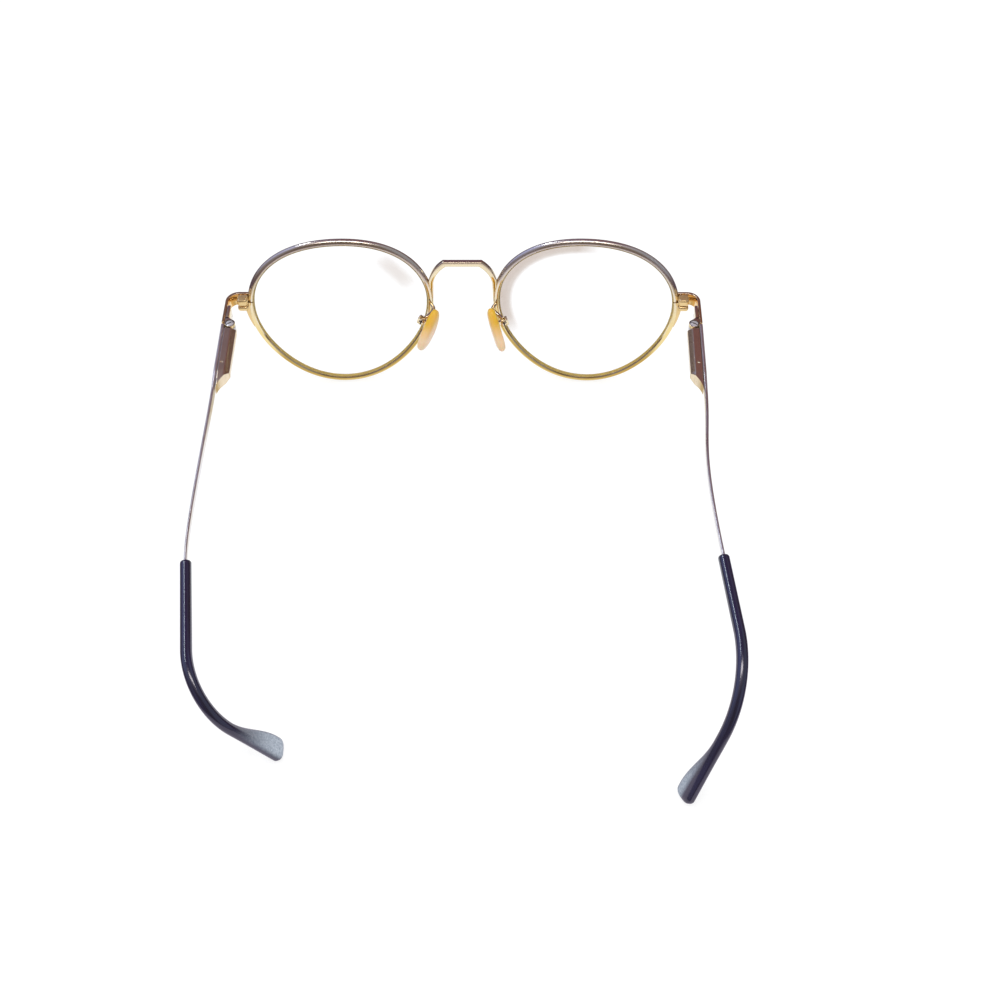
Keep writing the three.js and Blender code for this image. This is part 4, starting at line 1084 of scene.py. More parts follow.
# %% Hinge leaf and knuckles
LEAF_LENGTH, LEAF_THICKNESS, LEAF_SHORT, LEAF_CORNER, LEAF_EDGE = 6.8, 0.9, 0.25, 0.3, 0.12
MIDDLE_KNUCKLE, KNUCKLE_EDGE, KNUCKLE_TURN = 1.3, 0.14, 245
KNUCKLE_FOOT, KNUCKLE_HOLLOW, KNUCKLE_CUT = -2.3, [0.12, 0.16], 0.1
PIN_HOLE, TONGUE_HOLE, HEAD_GAP = 0.66, 0.7, 0.15
HEAD_ROOM, HEAD_SEAT = HINGE_SCREW["head_radius"] + HEAD_GAP, HINGE_SCREW["head_height"] + SOLDER
STEM_RADIUS, STEM_LENGTH, HOUSING_GAP = 0.5, 9.0, 0.35
STEM_START = BARREL_RADIUS + HOUSING_GAP
HOUSING_FRONT = HINGE[1] + STEM_START


def knuckle_outline():
    """Two thirds of the barrel's circle, then a hollow curve to the leaf and back up its outer face."""
    inner = BARREL_RADIUS - LEAF_THICKNESS
    turn = np.radians(np.linspace(0, KNUCKLE_TURN, 44))
    barrel = BARREL_RADIUS * np.stack([np.cos(turn), np.sin(turn)], -1)
    foot = np.array([inner, KNUCKLE_FOOT])
    hollow = bowed(barrel[-1], foot, KNUCKLE_HOLLOW, 8)[1:]
    corner = [[BARREL_RADIUS - KNUCKLE_CUT, foot[1]], [BARREL_RADIUS, foot[1] + KNUCKLE_CUT]]
    face = [[BARREL_RADIUS, y] for y in np.linspace(foot[1] + 0.3, -0.2, 8)]
    return np.concatenate([barrel, hollow, corner, face])


def bored(outline, low, high, edge, hole, recess=None):
    """A raised outline with a hole: its rings end in circles, so the row of rings closes on itself."""
    body = block(outline, low, high, edge, 3)
    angle = np.arctan2(outline[:, 1], outline[:, 0])
    circle = np.stack([np.cos(angle), np.sin(angle)], -1)

    def ring(radius, height):
        return np.concatenate([radius * circle, np.full((len(circle), 1), height)], -1)[None]

    inside = [ring(hole, high)]
    if recess:
        radius, depth = recess
        inside = [ring(radius, high), ring(radius, high - depth), ring(hole, high - depth)]
    return np.concatenate([body, *inside, ring(hole, low)])


def front_hinge():
    """Two bored knuckles, and the leaf as a plate of full height in front of them."""
    half, gap = BARREL_HEIGHT / 2, MIDDLE_KNUCKLE / 2 + RUNNING
    outline = knuckle_outline()
    upper = bored(outline, gap, half, KNUCKLE_EDGE, PIN_HOLE, (HEAD_ROOM, HEAD_SEAT))
    # The seat under the screw head is darkened: dirt, and painted shade.
    seat = np.isin(np.arange(len(upper)), [len(upper) - 3, len(upper) - 2])[:, None]
    length = LEAF_LENGTH - BARREL_RADIUS - LEAF_SHORT
    leaf = soften(rectangle(LEAF_THICKNESS, length), LEAF_CORNER, 4)
    leaf = leaf + [BARREL_RADIUS - LEAF_THICKNESS / 2, -LEAF_LENGTH + length / 2]
    return [
        skin(HINGE + upper, closed=True, dirt_and_shade=seat),
        skin(HINGE + bored(outline, -half, -gap, KNUCKLE_EDGE, PIN_HOLE), closed=True),
        skin(HINGE + block(leaf, -half, half, LEAF_EDGE, 3)),
    ]


print("knuckle outline points:", len(knuckle_outline()))

# %% Hinge tongue
TOE = np.radians(0.85)


def hinge_tongue():
    """A knuckle like a washer, and a round stem that runs back into the spring housing."""
    turn = np.linspace(0, 2 * np.pi, 48, endpoint=False)
    circle = BARREL_RADIUS * np.stack([np.cos(turn), np.sin(turn)], -1)
    knuckle = bored(circle, -MIDDLE_KNUCKLE / 2, MIDDLE_KNUCKLE / 2, KNUCKLE_EDGE, TONGUE_HOLE)
    stem = pin(STEM_RADIUS, BARREL_RADIUS / 2, STEM_START + STEM_LENGTH)
    return [knuckle, placed(stem, [0, 0, 0], [[1, 0, 0], [0, 0, 1], [0, 1, 0]])]


def toed_in(points):
    """Everything behind the hinge leans inboard: a small turn about the upright hinge axis."""
    cos, sin = np.cos(TOE), np.sin(TOE)
    return HINGE + (points - HINGE) @ np.array([[cos, sin, 0], [-sin, cos, 0], [0, 0, 1]])


for side in SIDES:
    knuckle, stem = hinge_tongue()
    tongue = [skin(toed_in(HINGE + knuckle), closed=True), skin(toed_in(HINGE + stem))]
    add_piece(f"{side}_hinge_knuckles", front_hinge(), f"{side}_front_hinge", GOLD, side)
    add_piece(f"{side}_tongue_knuckle", tongue, f"{side}_hinge_tongue", STEEL, side)
print("tongue stem ends", STEM_START + STEM_LENGTH, "mm behind the hinge axis")

# %% [markdown]
# ## Spring housings
# Behind each hinge a small case holds the spring that lets the temple open too far without breaking. It
# is a chamfered bar, soldered inside the temple, with a bore in front and a hollow ramp behind, and a
# dimple where the works are pegged. It could be cut from a bar with booleans, as a miller would. Here all
# of it is one row of sections along the bar, which keeps the faces even: in the ramp each section is cut
# off at the ramp's curve, and the dimple is a dip in the points of the top face that lie near it.

# %% Spring housings
HOUSING_LENGTH, HOUSING_RAMP, HOUSING_WIDTH, HOUSING_HEIGHT = 16.0, 5.5, 3.1, 3.8
CHAMFER_WIDTH, CHAMFER_HEIGHT, RAMP_EDGE, RAMP_HOLLOW = 1.25, 1.0, 0.15, 0.6
HOUSING_EDGE, HOUSING_FRONT_ROUND = 0.14, 0.2
SPRING_BORE, BORE_DEPTH = 1.0, 12.0
DIMPLE_RADIUS, DIMPLE_DEPTH, DIMPLE_BACK = 0.4, 0.35, 12.8
NEAR_DIMPLE = np.linspace(-0.55, 0.55, 23)
TEMPLE_THICK, TEMPLE_HEIGHT, SHAFT_THICK, SHAFT_HEIGHT = 0.9, 4.0, 0.8, 2.4
HOUSING_BACK = HOUSING_FRONT + HOUSING_LENGTH
HOUSING_OUTER = OUTER_FACE - TEMPLE_THICK - SOLDER
DIMPLE_X = HOUSING_OUTER - (HOUSING_WIDTH - CHAMFER_WIDTH) / 2


def ramp_line(y):
    """The ramp's hollow curve: a quadratic from the inboard face to the temple, over (span, inward) pairs."""
    t = np.linspace(0, 1, 400)
    span = 2 * t * (1 - t) * RAMP_HOLLOW + t**2
    inward = HOUSING_WIDTH - (HOUSING_WIDTH - RAMP_EDGE) * (1 - (1 - t) ** 2)
    return HOUSING_OUTER - np.interp((y - HOUSING_BACK) / HOUSING_RAMP, span, inward)


def housing_sections(y):
    """Chamfered oblongs along y: in the ramp they get lower and are cut off at the ramp's line."""
    outer = HOUSING_OUTER + 0 * y
    fall = np.clip((y - HOUSING_BACK) / HOUSING_RAMP, 0, 1)
    half = (HOUSING_HEIGHT + (SHAFT_HEIGHT - HOUSING_HEIGHT) * fall) / 2
    share = 2 * half / HOUSING_HEIGHT
    face = ramp_line(y)
    bevel = outer - HOUSING_WIDTH + CHAMFER_WIDTH * share
    shoulder = np.maximum(bevel, face)
    drop = CHAMFER_HEIGHT * np.clip((bevel - face) / CHAMFER_WIDTH, 0, share)
    top = np.clip(DIMPLE_X + NEAR_DIMPLE, shoulder[:, None], outer[:, None])
    x = np.concatenate([np.stack([face, face, shoulder], 1), top, np.stack([outer, outer, shoulder], 1)], 1)
    level = np.broadcast_to(half[:, None], top.shape)
    z = np.concatenate([
        np.stack([drop - half, half - drop, half], 1), level, np.stack([half, -half, -half], 1),
    ], 1)
    return np.stack([x, z + HINGE[2]], -1)


def spring_housing():
    """Bore, front face, body and ramp, as rings of (x, y, z) from the end of the bore to the ramp's end."""
    body = np.linspace(HOUSING_FRONT + HOUSING_FRONT_ROUND, HOUSING_BACK, 60)
    near = HOUSING_FRONT + DIMPLE_BACK + NEAR_DIMPLE
    behind = HOUSING_BACK + HOUSING_RAMP * np.linspace(0, 1, 44)[1:]
    y = np.sort(np.concatenate([body, near, behind]))
    outlines = soften(housing_sections(y), HOUSING_EDGE, 2)
    away = np.hypot(outlines[..., 0] - DIMPLE_X, y[:, None] - HOUSING_FRONT - DIMPLE_BACK)
    on_top = outlines[..., 1] > HINGE[2] + HOUSING_HEIGHT / 2 - 0.01
    dip = DIMPLE_DEPTH * np.sqrt(np.clip(1 - (away / DIMPLE_RADIUS) ** 2, 0, 1)) * on_top
    outlines = np.stack([outlines[..., 0], outlines[..., 1] - dip], -1)

    depth, inset = quarter_round(HOUSING_FRONT_ROUND)
    front = drawn_in(outlines[0][::-1], inset[:, None, None])[:, ::-1]
    centre = HINGE[[0, 2]]
    circle = centre + SPRING_BORE * unit(outlines[0] - centre)
    flat = np.concatenate([circle[None], circle[None], front, outlines])
    places = np.concatenate([[HOUSING_FRONT + BORE_DEPTH, HOUSING_FRONT], HOUSING_FRONT + depth, y])
    along = np.broadcast_to(places[:, None], flat.shape[:2])
    return np.stack([flat[..., 0], along, flat[..., 1]], -1)


for side in SIDES:
    case = skin(toed_in(spring_housing()))
    add_piece(f"{side}_spring_case", [case], f"{side}_spring_housing", PALE_GOLD, side)
print("housing rings:", spring_housing().shape[:2])

# %% [markdown]
# ## Temples
# A temple is rolled from one strip: a flat strap beside the hinge, thinner behind the spring housing, and
# then a long slim shaft that runs, with a slight bow, into the plastic tip. A curve's taper would shrink
# the whole section, but here thickness and height change apart, so each station has an oblong of its own.
# The two temples of a worn pair are never bent quite alike, so each has values: where the tip's mouth
# lies (inset, rise), how the shaft reaches it (lead, heading), the line of the tip (straight, radius,
# bend, lean, tail), and how strong the paddle's matt finish and painted reflection are and up to where
# (bloom, rubbed).

# %% Temple strips
TEMPLE_LENGTH, TEMPLE_EDGE, TEMPLE_BARE = 78.1, 0.4, 0.85
CORE_THICK, CORE_HEIGHT, CORE_START, CORE_STOP = 0.7, 1.8, 1.0, 9.0
TEMPLES = {
    "left": dict(inset=-0.1, rise=-0.8, lead=9, heading=(-0.117, 1, -0.108), straight=23.4, radius=16.0,
                 bend=np.radians(81), lean=np.radians(37), tail=16.4, bloom=1.0, rubbed=1.5),
    "right": dict(inset=-0.75, rise=2.15, lead=32, heading=(0.133, 1, -0.12), straight=19.2, radius=24.5,
                  bend=np.radians(60), lean=np.radians(31.5), tail=18.7, bloom=0.85, rubbed=0.25),
}


def tip_mouth(temple):
    """Where the shaft enters the tip: a length behind the hinge, and beside and above its axis."""
    return np.array([
        OUTER_FACE - TEMPLE_THICK / 2 - temple["inset"],
        HINGE[1] + TEMPLE_LENGTH,
        HINGE[2] + temple["rise"],
    ])


def tip_length(temple):
    """The straight, the arc (radius times angle) and the tail."""
    return temple["straight"] + temple["radius"] * temple["bend"] + temple["tail"]


def tip_line(temple, distance):
    """Place, way and up along the tip: straight, then an arc towards the fall, then straight again."""
    heading = unit(np.array(temple["heading"]))
    fall = np.array([-np.sin(temple["lean"]), 0, -np.cos(temple["lean"])])
    fall = unit(fall - heading * (fall @ heading))
    level = unit(UP - heading * heading[2])
    bend = np.clip((distance - temple["straight"]) / temple["radius"], 0, temple["bend"])[:, None]
    twist = np.clip(distance / temple["straight"], 0, 1)[:, None]
    tail = np.clip(distance - temple["straight"] - temple["radius"] * temple["bend"], 0, None)[:, None]
    way = heading * np.cos(bend) + fall * np.sin(bend)
    up = (heading * np.sin(bend) - fall * np.cos(bend)) * twist + level * (1 - twist)
    lead = np.minimum(distance, temple["straight"])[:, None] + temple["radius"] * np.sin(bend)
    place = tip_mouth(temple) + heading * lead + fall * temple["radius"] * (1 - np.cos(bend)) + way * tail
    return place, way, unit(up)


def temple_strip(temple):
    """Straight strap, a cubic curve from the housing's end to the tip, and the core along the tip's line."""
    x = OUTER_FACE - TEMPLE_THICK / 2
    shift = (TEMPLE_THICK - SHAFT_THICK) / 2
    strap_y = np.linspace(HINGE[1] + BUTT_GAP / 2, HOUSING_BACK, 12)
    strap = np.stack([x + 0 * strap_y, strap_y, HINGE[2] + 0 * strap_y], -1)
    share = np.linspace(0, 1, 14)[1:-1, None]
    start = np.array([x + shift, HOUSING_BACK + HOUSING_RAMP, HINGE[2]])
    over = strap[-1] + share * (start - strap[-1])
    mouth, heading = tip_mouth(temple), unit(np.array(temple["heading"]))
    length = mouth[1] - start[1]
    t = np.linspace(0, 1, 70)[:, None]
    first, second = start + [0, length / 3, 0], mouth - heading * temple["lead"]
    shaft = (1 - t) ** 3 * start + 3 * t * (1 - t) ** 2 * first + 3 * t**2 * (1 - t) * second + t**3 * mouth
    inside = np.linspace(CORE_START, tip_length(temple) - CORE_STOP, 60)
    core, _, core_up = tip_line(temple, inside)
    path = np.concatenate([strap, over, shaft, core])
    ups = np.concatenate([np.broadcast_to(UP, (len(path) - len(core), 3)), core_up])
    blend = np.concatenate([np.zeros(len(strap)), share[:, 0], np.ones(len(shaft) + len(core))])
    thin = np.concatenate([np.zeros(len(strap) + len(over)), t[:, 0], np.ones(len(core))])
    thick = TEMPLE_THICK + (SHAFT_THICK - TEMPLE_THICK) * blend + (CORE_THICK - SHAFT_THICK) * thin
    height = TEMPLE_HEIGHT + (SHAFT_HEIGHT - TEMPLE_HEIGHT) * blend + (CORE_HEIGHT - SHAFT_HEIGHT) * thin
    return sweep(path, ups, soften(rectangle(thick, height), TEMPLE_EDGE, 6), end_round=STRAP_END)


for side in SIDES:
    strip = [skin(toed_in(temple_strip(TEMPLES[side])))]
    add_piece(f"{side}_temple_strip", strip, f"{side}_temple", GOLD, side, {"bare_and_reflected": TEMPLE_BARE})
print("temple rings:", len(temple_strip(TEMPLES["left"])))

# %% [markdown]
# ## Tips
# The tips are moulded sleeves. Each runs straight on from the shaft, bends down and inwards behind the
# ear, and ends in a flat paddle. A cage shaped by hand would give this too, but a formula is easier to
# fit: the middle line has three parts, straight, arc and straight, and the section changes smoothly from
# round to a rounded oblong whose outer edge stays in line.

# %% Tips
TIP_RADIUS, TIP_LIP_RADIUS, TIP_LIP = 1.38, 1.15, 0.5
TIP_END_ROUND, TIP_END_FLAT = 1.6, 0.35
PADDLE_HALF, PADDLE_BREADTH, PADDLE_LENGTH, PADDLE_FLARE, PADDLE_SQUARE = 1.25, 6.0, 17.0, 14.5, 0.65
TIP_SIDES = 48


def tip_sections(temple, distance):
    """Super-ellipses: |cos|^p and |sin|^p of the angle, p falling from 1 to the paddle's squareness."""
    length = tip_length(temple)
    share = np.clip((distance - length + PADDLE_LENGTH) / PADDLE_FLARE, 0, 1)
    flare = (share**2 * (3 - 2 * share))[:, None]
    thick = TIP_RADIUS + (PADDLE_HALF - TIP_RADIUS) * flare
    inside = TIP_RADIUS + (PADDLE_BREADTH - 2 * TIP_RADIUS) * flare
    square = 1 + (PADDLE_SQUARE - 1) * flare
    lip = np.clip(distance / TIP_LIP, 0, 1)
    lip = TIP_LIP_RADIUS / TIP_RADIUS + (1 - TIP_LIP_RADIUS / TIP_RADIUS) * np.sqrt(1 - (1 - lip) ** 2)
    end = np.clip((distance - length + TIP_END_ROUND) / TIP_END_ROUND, 0, 1)
    scale = (lip * (TIP_END_FLAT + (1 - TIP_END_FLAT) * np.sqrt(1 - end**2)))[:, None]
    angle = np.linspace(0, 2 * np.pi, TIP_SIDES, endpoint=False)
    cos, sin = np.cos(angle), np.sin(angle)
    across = np.sign(cos) * np.abs(cos) ** square
    upward = np.sign(sin) * np.abs(sin) ** square
    middle = (TIP_RADIUS - inside) / 2
    outline = np.stack([thick * scale * across, middle + scale * upward * (TIP_RADIUS + inside) / 2], -1)
    # The broad faces, below the rubbed level, turn matt and take the painted reflection.
    broad_faces = np.clip(1.15 - 1.1 * np.abs(upward) ** 4, 0, 1)
    below_rubbed = np.clip((temple["rubbed"] - upward) / 0.4, 0, 1)
    return outline, flare * broad_faces * below_rubbed


def tip_sleeve(temple):
    """Sections along the tip's line, close together where the mouth and the end are rounded."""
    length = tip_length(temple)
    mouth = TIP_LIP * (1 - np.cos(np.linspace(0, np.pi / 2, 8)))
    end = length - TIP_END_ROUND * (1 - np.sin(np.linspace(0, np.pi / 2, 14)))
    distance = np.concatenate([mouth, np.linspace(TIP_LIP, length - TIP_END_ROUND, 210)[1:-1], end])
    place, way, up = tip_line(temple, distance)
    outline, matt_and_reflection = tip_sections(temple, distance)
    inboard = np.cross(up, way)
    rings = place[:, None] + inboard[:, None] * outline[..., :1] + up[:, None] * outline[..., 1:]
    return rings, temple["bloom"] * per_point(matt_and_reflection, 0, matt_and_reflection[-1].mean())


for side in SIDES:
    rings, matt_and_reflection = tip_sleeve(TEMPLES[side])
    sleeve = [skin(toed_in(rings))]
    add_piece(f"{side}_temple_tip", sleeve, f"{side}_tip", TIP_PLASTIC, side, {"matt_and_reflection": matt_and_reflection})
    print(side, "tip is", round(float(tip_length(TEMPLES[side])), 1), "mm long")

# %% [markdown]
# ## Nose pads
# A wire arm leaves the back of each rim, bulges towards the nose and bends back to a small clevis. A
# screw through the clevis holds the eye of the pad's metal foot, on which the pad can rock, and the foot
# is moulded into soft silicone. A parent empty could turn them all, but pieces keep their place in their
# mesh. So points are given in the pad's own frame at its screw, where long runs up the pad, wide to the
# back and face towards the nose, and are then put in the room. An optician has bent the two arms a little
# differently.

# %% Pad frames
PAD_LENGTH, PAD_WIDTH, PAD_THICK, PAD_TAPER = 15.0, 7.4, 2.5, 0.2
PAD_SPACING, PAD_BEHIND, PAD_DROP, PAD_SPLAY = 18.3, 6.1, 1.8, np.radians(14)
LUG_HEIGHT_ON_PAD, LUG_REACH = 1.9, 1.3
LUG_WIDTH, LUG_HEIGHT, LUG_TAIL = 0.8, 1.2, 0.6
FOOT_LENGTH, FOOT_WIDTH, FOOT_THICK = 5.0, 3.0, 0.5
BOX_CHEEK, BOX_HEIGHT, BOX_NOSE = 0.35, 2.0, 0.6
BOX_ROOM = np.hypot(LUG_TAIL, LUG_HEIGHT / 2) + RUNNING
BOX_SLOT = LUG_WIDTH / 2 + RUNNING
ARM_RADIUS, ARM_ANGLE, ARM_BULGE, ARM_REACH, ARM_TURN = 0.5, np.radians(177), 0.9, 2.3, 1.5
PADS = {
    "left": dict(turn=np.radians(25), rock=np.radians(3)),
    "right": dict(turn=np.radians(15), rock=np.radians(-3)),
}


def pad_frame(turn):
    """Screw and axes (long, wide, face) of a pad: splayed from upright, and its face turned to the back."""
    cos, sin = np.cos(PAD_SPLAY), np.sin(PAD_SPLAY)
    long = np.array([-sin, 0, cos])
    face = np.array([-cos * np.cos(turn), np.sin(turn), -sin * np.cos(turn)])
    middle = np.array([PAD_SPACING / 2, PAD_BEHIND, LENS_CENTRE[2] - PAD_DROP])
    screw_place = middle + long * LUG_HEIGHT_ON_PAD - face * (PAD_THICK / 2 + LUG_REACH)
    return screw_place, np.stack([long, np.cross(face, long), face])


def in_pad(points, side, rocked=False):
    """Points of a pad's frame put in the room, and rocked about the wide axis if they belong to the pad."""
    rock = PADS[side]["rock"] if rocked else 0.0
    cos, sin = np.cos(rock), np.sin(rock)
    turned = points @ np.array([[cos, 0, sin], [0, 1, 0], [-sin, 0, cos]])
    return placed(turned, *pad_frame(PADS[side]["turn"]))


print("pad screws at", [np.round(pad_frame(pad["turn"])[0], 2).tolist() for pad in PADS.values()])

# %% Pad arms
def smooth_path(knots, count):
    """A curve through its knots: cubics whose slopes weigh each chord by the square root of its length."""
    padded = np.concatenate([2 * knots[:1] - knots[1:2], knots, 2 * knots[-1:] - knots[-2:-1]])
    chord = np.diff(padded, axis=0)
    pace = np.sqrt(np.linalg.norm(chord, axis=1, keepdims=True)) + 1e-9
    rate = chord / pace
    slope = rate[:-1] + rate[1:] - (chord[:-1] + chord[1:]) / (pace[:-1] + pace[1:])
    t = np.linspace(0, len(knots) - 1 - 1e-9, count)
    i = t.astype(int)
    f = (t - i)[:, None]
    here, step = knots[i], chord[i + 1]
    first, second = slope[i] * pace[i + 1], slope[i + 1] * pace[i + 1]
    return here + first * f + (3 * step - 2 * first - second) * f**2 + (first + second - 2 * step) * f**3


def pad_arm(side):
    """A round wire through five points: the rim's back, the bulge, the turn, and two up to the clevis."""
    start = on_front(np.array(ARM_ANGLE), np.array(0.0), -RIM_DEPTH / 4)
    cheek = -BOX_SLOT - BOX_CHEEK - SOLDER
    ends = np.array([[ARM_RADIUS, cheek - ARM_TURN, ARM_RADIUS], [0, cheek - ARM_RADIUS, 0], [0, cheek, 0]])
    knots = np.concatenate([[start, start + [-ARM_BULGE, ARM_REACH, 0]], in_pad(ends, side)])
    path = smooth_path(knots, 60)
    turn = np.linspace(0, 2 * np.pi, 24, endpoint=False)
    return sweep(path, UP, ARM_RADIUS * np.stack([np.cos(turn), np.sin(turn)], -1))


for side in SIDES:
    add_piece(f"{side}_pad_wire", [skin(pad_arm(side))], f"{side}_pad_arm", GOLD, side)
print("pad arms of", len(pad_arm("left")), "rings")

# %% [markdown]
# ### Clevises, screws and feet
# The clevis is a tiny trough with two cheeks. It could be one bent plate, but three rounded blocks that
# touch look the same and are simpler. The screw has a domed head, like a rivet, and reuses the slotted
# screw. The foot is an eye on an oval plate, and it rocks with the pad.

# %% Clevises, pad screws and pad feet
CHEEK_CORNER, CHEEK_EDGE = 0.75, 0.12
WALL_THICK, WALL_CORNER, WALL_INSET, WALL_EDGE = BOX_CHEEK + 0.2, 0.2, 0.05, 0.1
EYE_CORNER, EYE_EDGE, PLATE_CORNER, PLATE_EDGE = 0.5, 0.1, 1.2, 0.15
PAD_SCREW = dict(shaft_radius=0.3, head_radius=0.8, head_height=0.5, dome=0.22)


def upright_block(outline, low, high, edge):
    """A block whose outline lies in (long, face) and whose height runs along wide."""
    rings = block(outline, low, high, edge, 3)
    return rings[..., [0, 2, 1]]


def pad_clevis(side):
    """Two rounded cheeks beside the eye and a wall behind it."""
    wall = -BOX_ROOM - BOX_CHEEK
    cheek = soften(rectangle(BOX_HEIGHT, BOX_NOSE - wall), CHEEK_CORNER, 6) + [0, (BOX_NOSE + wall) / 2]
    back = soften(rectangle(BOX_HEIGHT, WALL_THICK), WALL_CORNER, 4) + [0, wall + WALL_THICK / 2]
    outer = BOX_SLOT + BOX_CHEEK
    blocks = [
        upright_block(cheek, BOX_SLOT, outer, CHEEK_EDGE),
        upright_block(cheek, -outer, -BOX_SLOT, CHEEK_EDGE),
        upright_block(back, -outer + WALL_INSET, outer - WALL_INSET, WALL_EDGE),
    ]
    return [skin(in_pad(rings, side)) for rings in blocks]


def pad_rivet(side):
    """A domed slotted head on the back cheek and a pin through to the front cheek."""
    reach = BOX_SLOT + BOX_CHEEK
    head_top = reach + SOLDER + PAD_SCREW["head_height"]
    long, wide, _ = pad_frame(PADS[side]["turn"])[1]
    return screw(in_pad(np.array([0, head_top, 0]), side), -wide, long, reach + head_top, **PAD_SCREW)


def pad_foot(side):
    """An eye between the cheeks and an oval plate that lies inside the silicone."""
    foot = LUG_REACH + (PAD_THICK - FOOT_THICK) / 2
    eye = soften(rectangle(LUG_HEIGHT, LUG_TAIL + foot), EYE_CORNER, 6) + [0, (foot - LUG_TAIL) / 2]
    eye = upright_block(eye, -LUG_WIDTH / 2, LUG_WIDTH / 2, EYE_EDGE)
    plate = soften(rectangle(FOOT_LENGTH, FOOT_WIDTH), PLATE_CORNER, 6)
    plate = block(plate, foot, foot + FOOT_THICK, PLATE_EDGE, 3)
    return [skin(in_pad(rings, side, rocked=True)) for rings in (eye, plate)]


for side in SIDES:
    add_piece(f"{side}_pad_clevis", pad_clevis(side), f"{side}_pad_box", GOLD, side)
    add_piece(f"{side}_pad_rivet", pad_rivet(side), f"{side}_pad_screw", GOLD, side)
    add_piece(f"{side}_pad_foot", pad_foot(side), f"{side}_pad_lug", GOLD, side)
print("clevis slot is", 2 * BOX_SLOT, "mm wide")

# %% [markdown]
# ### Silicone pads
# A nose pad is a cushion with the outline of a drop: flat behind, round at its edge, and nearly flat
# where it rests on the nose. A subdivided box would be a cushion, but no drop. So drops are stacked
# through the thickness, and a smooth curve through a few layers (depth, share of the full size) says how
# large each is.

# %% Silicone pads
# Painted glow of the gold foot through the silicone: where it starts along the pad, and over what length.
FOOT_GLOW_FROM, FOOT_GLOW_LENGTH = -3.5, 6.0
PAD_LAYERS = np.array([
    [-0.5, 0.0], [-0.5, 0.45], [-0.49, 0.72], [-0.42, 0.9], [-0.25, 0.985], [0.0, 1.0],
    [0.2, 0.965], [0.36, 0.86], [0.455, 0.7], [0.495, 0.5], [0.505, 0.25], [0.505, 0.0],
])


def silicone_pad(side):
    """Teardrops stacked through the thickness: half length cos, half width sin * (1 - taper * cos)."""
    layers = smooth_path(PAD_LAYERS, 60)[1:-1]
    depth, share = layers[:, 0, None], np.clip(layers[:, 1, None], 0.01, 1)
    angle = np.linspace(0, 2 * np.pi, 72, endpoint=False)
    long = np.cos(angle) * share * PAD_LENGTH / 2 - LUG_HEIGHT_ON_PAD
    wide = np.sin(angle) * share * PAD_WIDTH * (1 - PAD_TAPER * np.cos(angle)) / 2
    face = LUG_REACH + (0.5 + depth) * PAD_THICK + 0 * angle
    local = np.stack([long, wide, face], -1)
    # The painted glow rises along the pad towards its upper end, where the foot sits, and is weaker towards
    # the face.
    near_foot = np.clip((long - FOOT_GLOW_FROM) / FOOT_GLOW_LENGTH, 0, 1)
    glow_from_foot = near_foot * np.clip(0.95 - 0.3 * depth, 0, 1)
    return in_pad(local, side, rocked=True), per_point(glow_from_foot, 0.5, 0.2)


for side in SIDES:
    rings, painted_foot_glow = silicone_pad(side)
    pad = [skin(rings)]
    add_piece(f"{side}_silicone_pad", pad, f"{side}_nose_pad", SILICONE, side, {"painted_foot_glow": painted_foot_glow})
print("pad layers:", len(rings))

# %% [markdown]
# ## Hidden works
# Inside the housing, a spring round the tongue's stem lies between a bush in the housing and a stop on
# the stem. When the temple is pushed past open, the bush comes nearer to the stop and the spring
# shortens. Here the coil is drawn at rest from its seat on the bush and gets a mesh of its own; it is
# left stiff, which a closed housing hides, though it would run into the stop as the temple slides. Bush
# and stop keep their CAD shapes, which have no UV map of ours, so the finish uses Object coordinates.

# %% Spring, bush and stop
BUSH_LENGTH, STOP_LENGTH, FLEX_STROKE = 1.4, 1.0, 1.2
SPRING_WIRE, SPRING_TURNS, TURN_STEPS, WIRE_SIDES = 0.3, 6, 32, 14
SPRING_FRONT = STEM_START + BUSH_LENGTH + 2 * SOLDER
SPRING_BACK = STEM_START + STEM_LENGTH - STOP_LENGTH - SOLDER


def works_finish():
    """Bright drawn steel with fine specks, on Object coordinates."""
    material, tree, shader = new_finish("spring steel")
    place = object_place(tree)
    specks = ramp(tree, noise(tree, place, 3000, 3), 0, 1, 0.4, 0.7)
    connect(tree, shader, {
        "Base Color": mix_colour(tree, specks, (0.62, 0.60, 0.58, 1), (0.44, 0.41, 0.38, 1)),
        "Roughness": ramp(tree, noise(tree, place, 1200, 2), 0.2, 0.4),
        "Metallic": 1.0,
    })
    return material


def spring_coil():
    """A helix round the stem, (r cos t, rise times t, -r sin t), that carries a circle square to its way."""
    wire, coil = SPRING_WIRE / 2, (STEM_RADIUS + SPRING_BORE) / 2
    turn = np.linspace(0, 2 * np.pi * SPRING_TURNS, SPRING_TURNS * TURN_STEPS + 1)
    rise = (SPRING_BACK - SPRING_FRONT - SPRING_WIRE) / turn[-1]
    level = np.zeros_like(turn)
    outward = np.stack([np.cos(turn), level, -np.sin(turn)], -1)
    along = unit(np.stack([-np.sin(turn), level + rise / coil, -np.cos(turn)], -1))
    across = np.cross(along, outward)
    middle = coil * outward + np.stack([level, SPRING_FRONT + wire + rise * turn, level], -1)
    angle = np.linspace(0, 2 * np.pi, WIRE_SIDES, endpoint=False)[:, None]
    return middle[:, None] + wire * (np.cos(angle) * outward[:, None] + np.sin(angle) * across[:, None])


SPRING_STEEL = works_finish()
for side, sign in SIDES.items():
    coil = [skin(toed_in(HINGE + spring_coil()))]
    spring = add_piece(f"{side}_spring_coil", coil, f"{side}_spring", SPRING_STEEL, side)
    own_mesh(spring)
    for node in ("spring_bush", "spring_stop"):
        works = frame["nodes"][f"{side}_{node}"]
        works.data.materials.clear()
        works.data.materials.append(SPRING_STEEL)

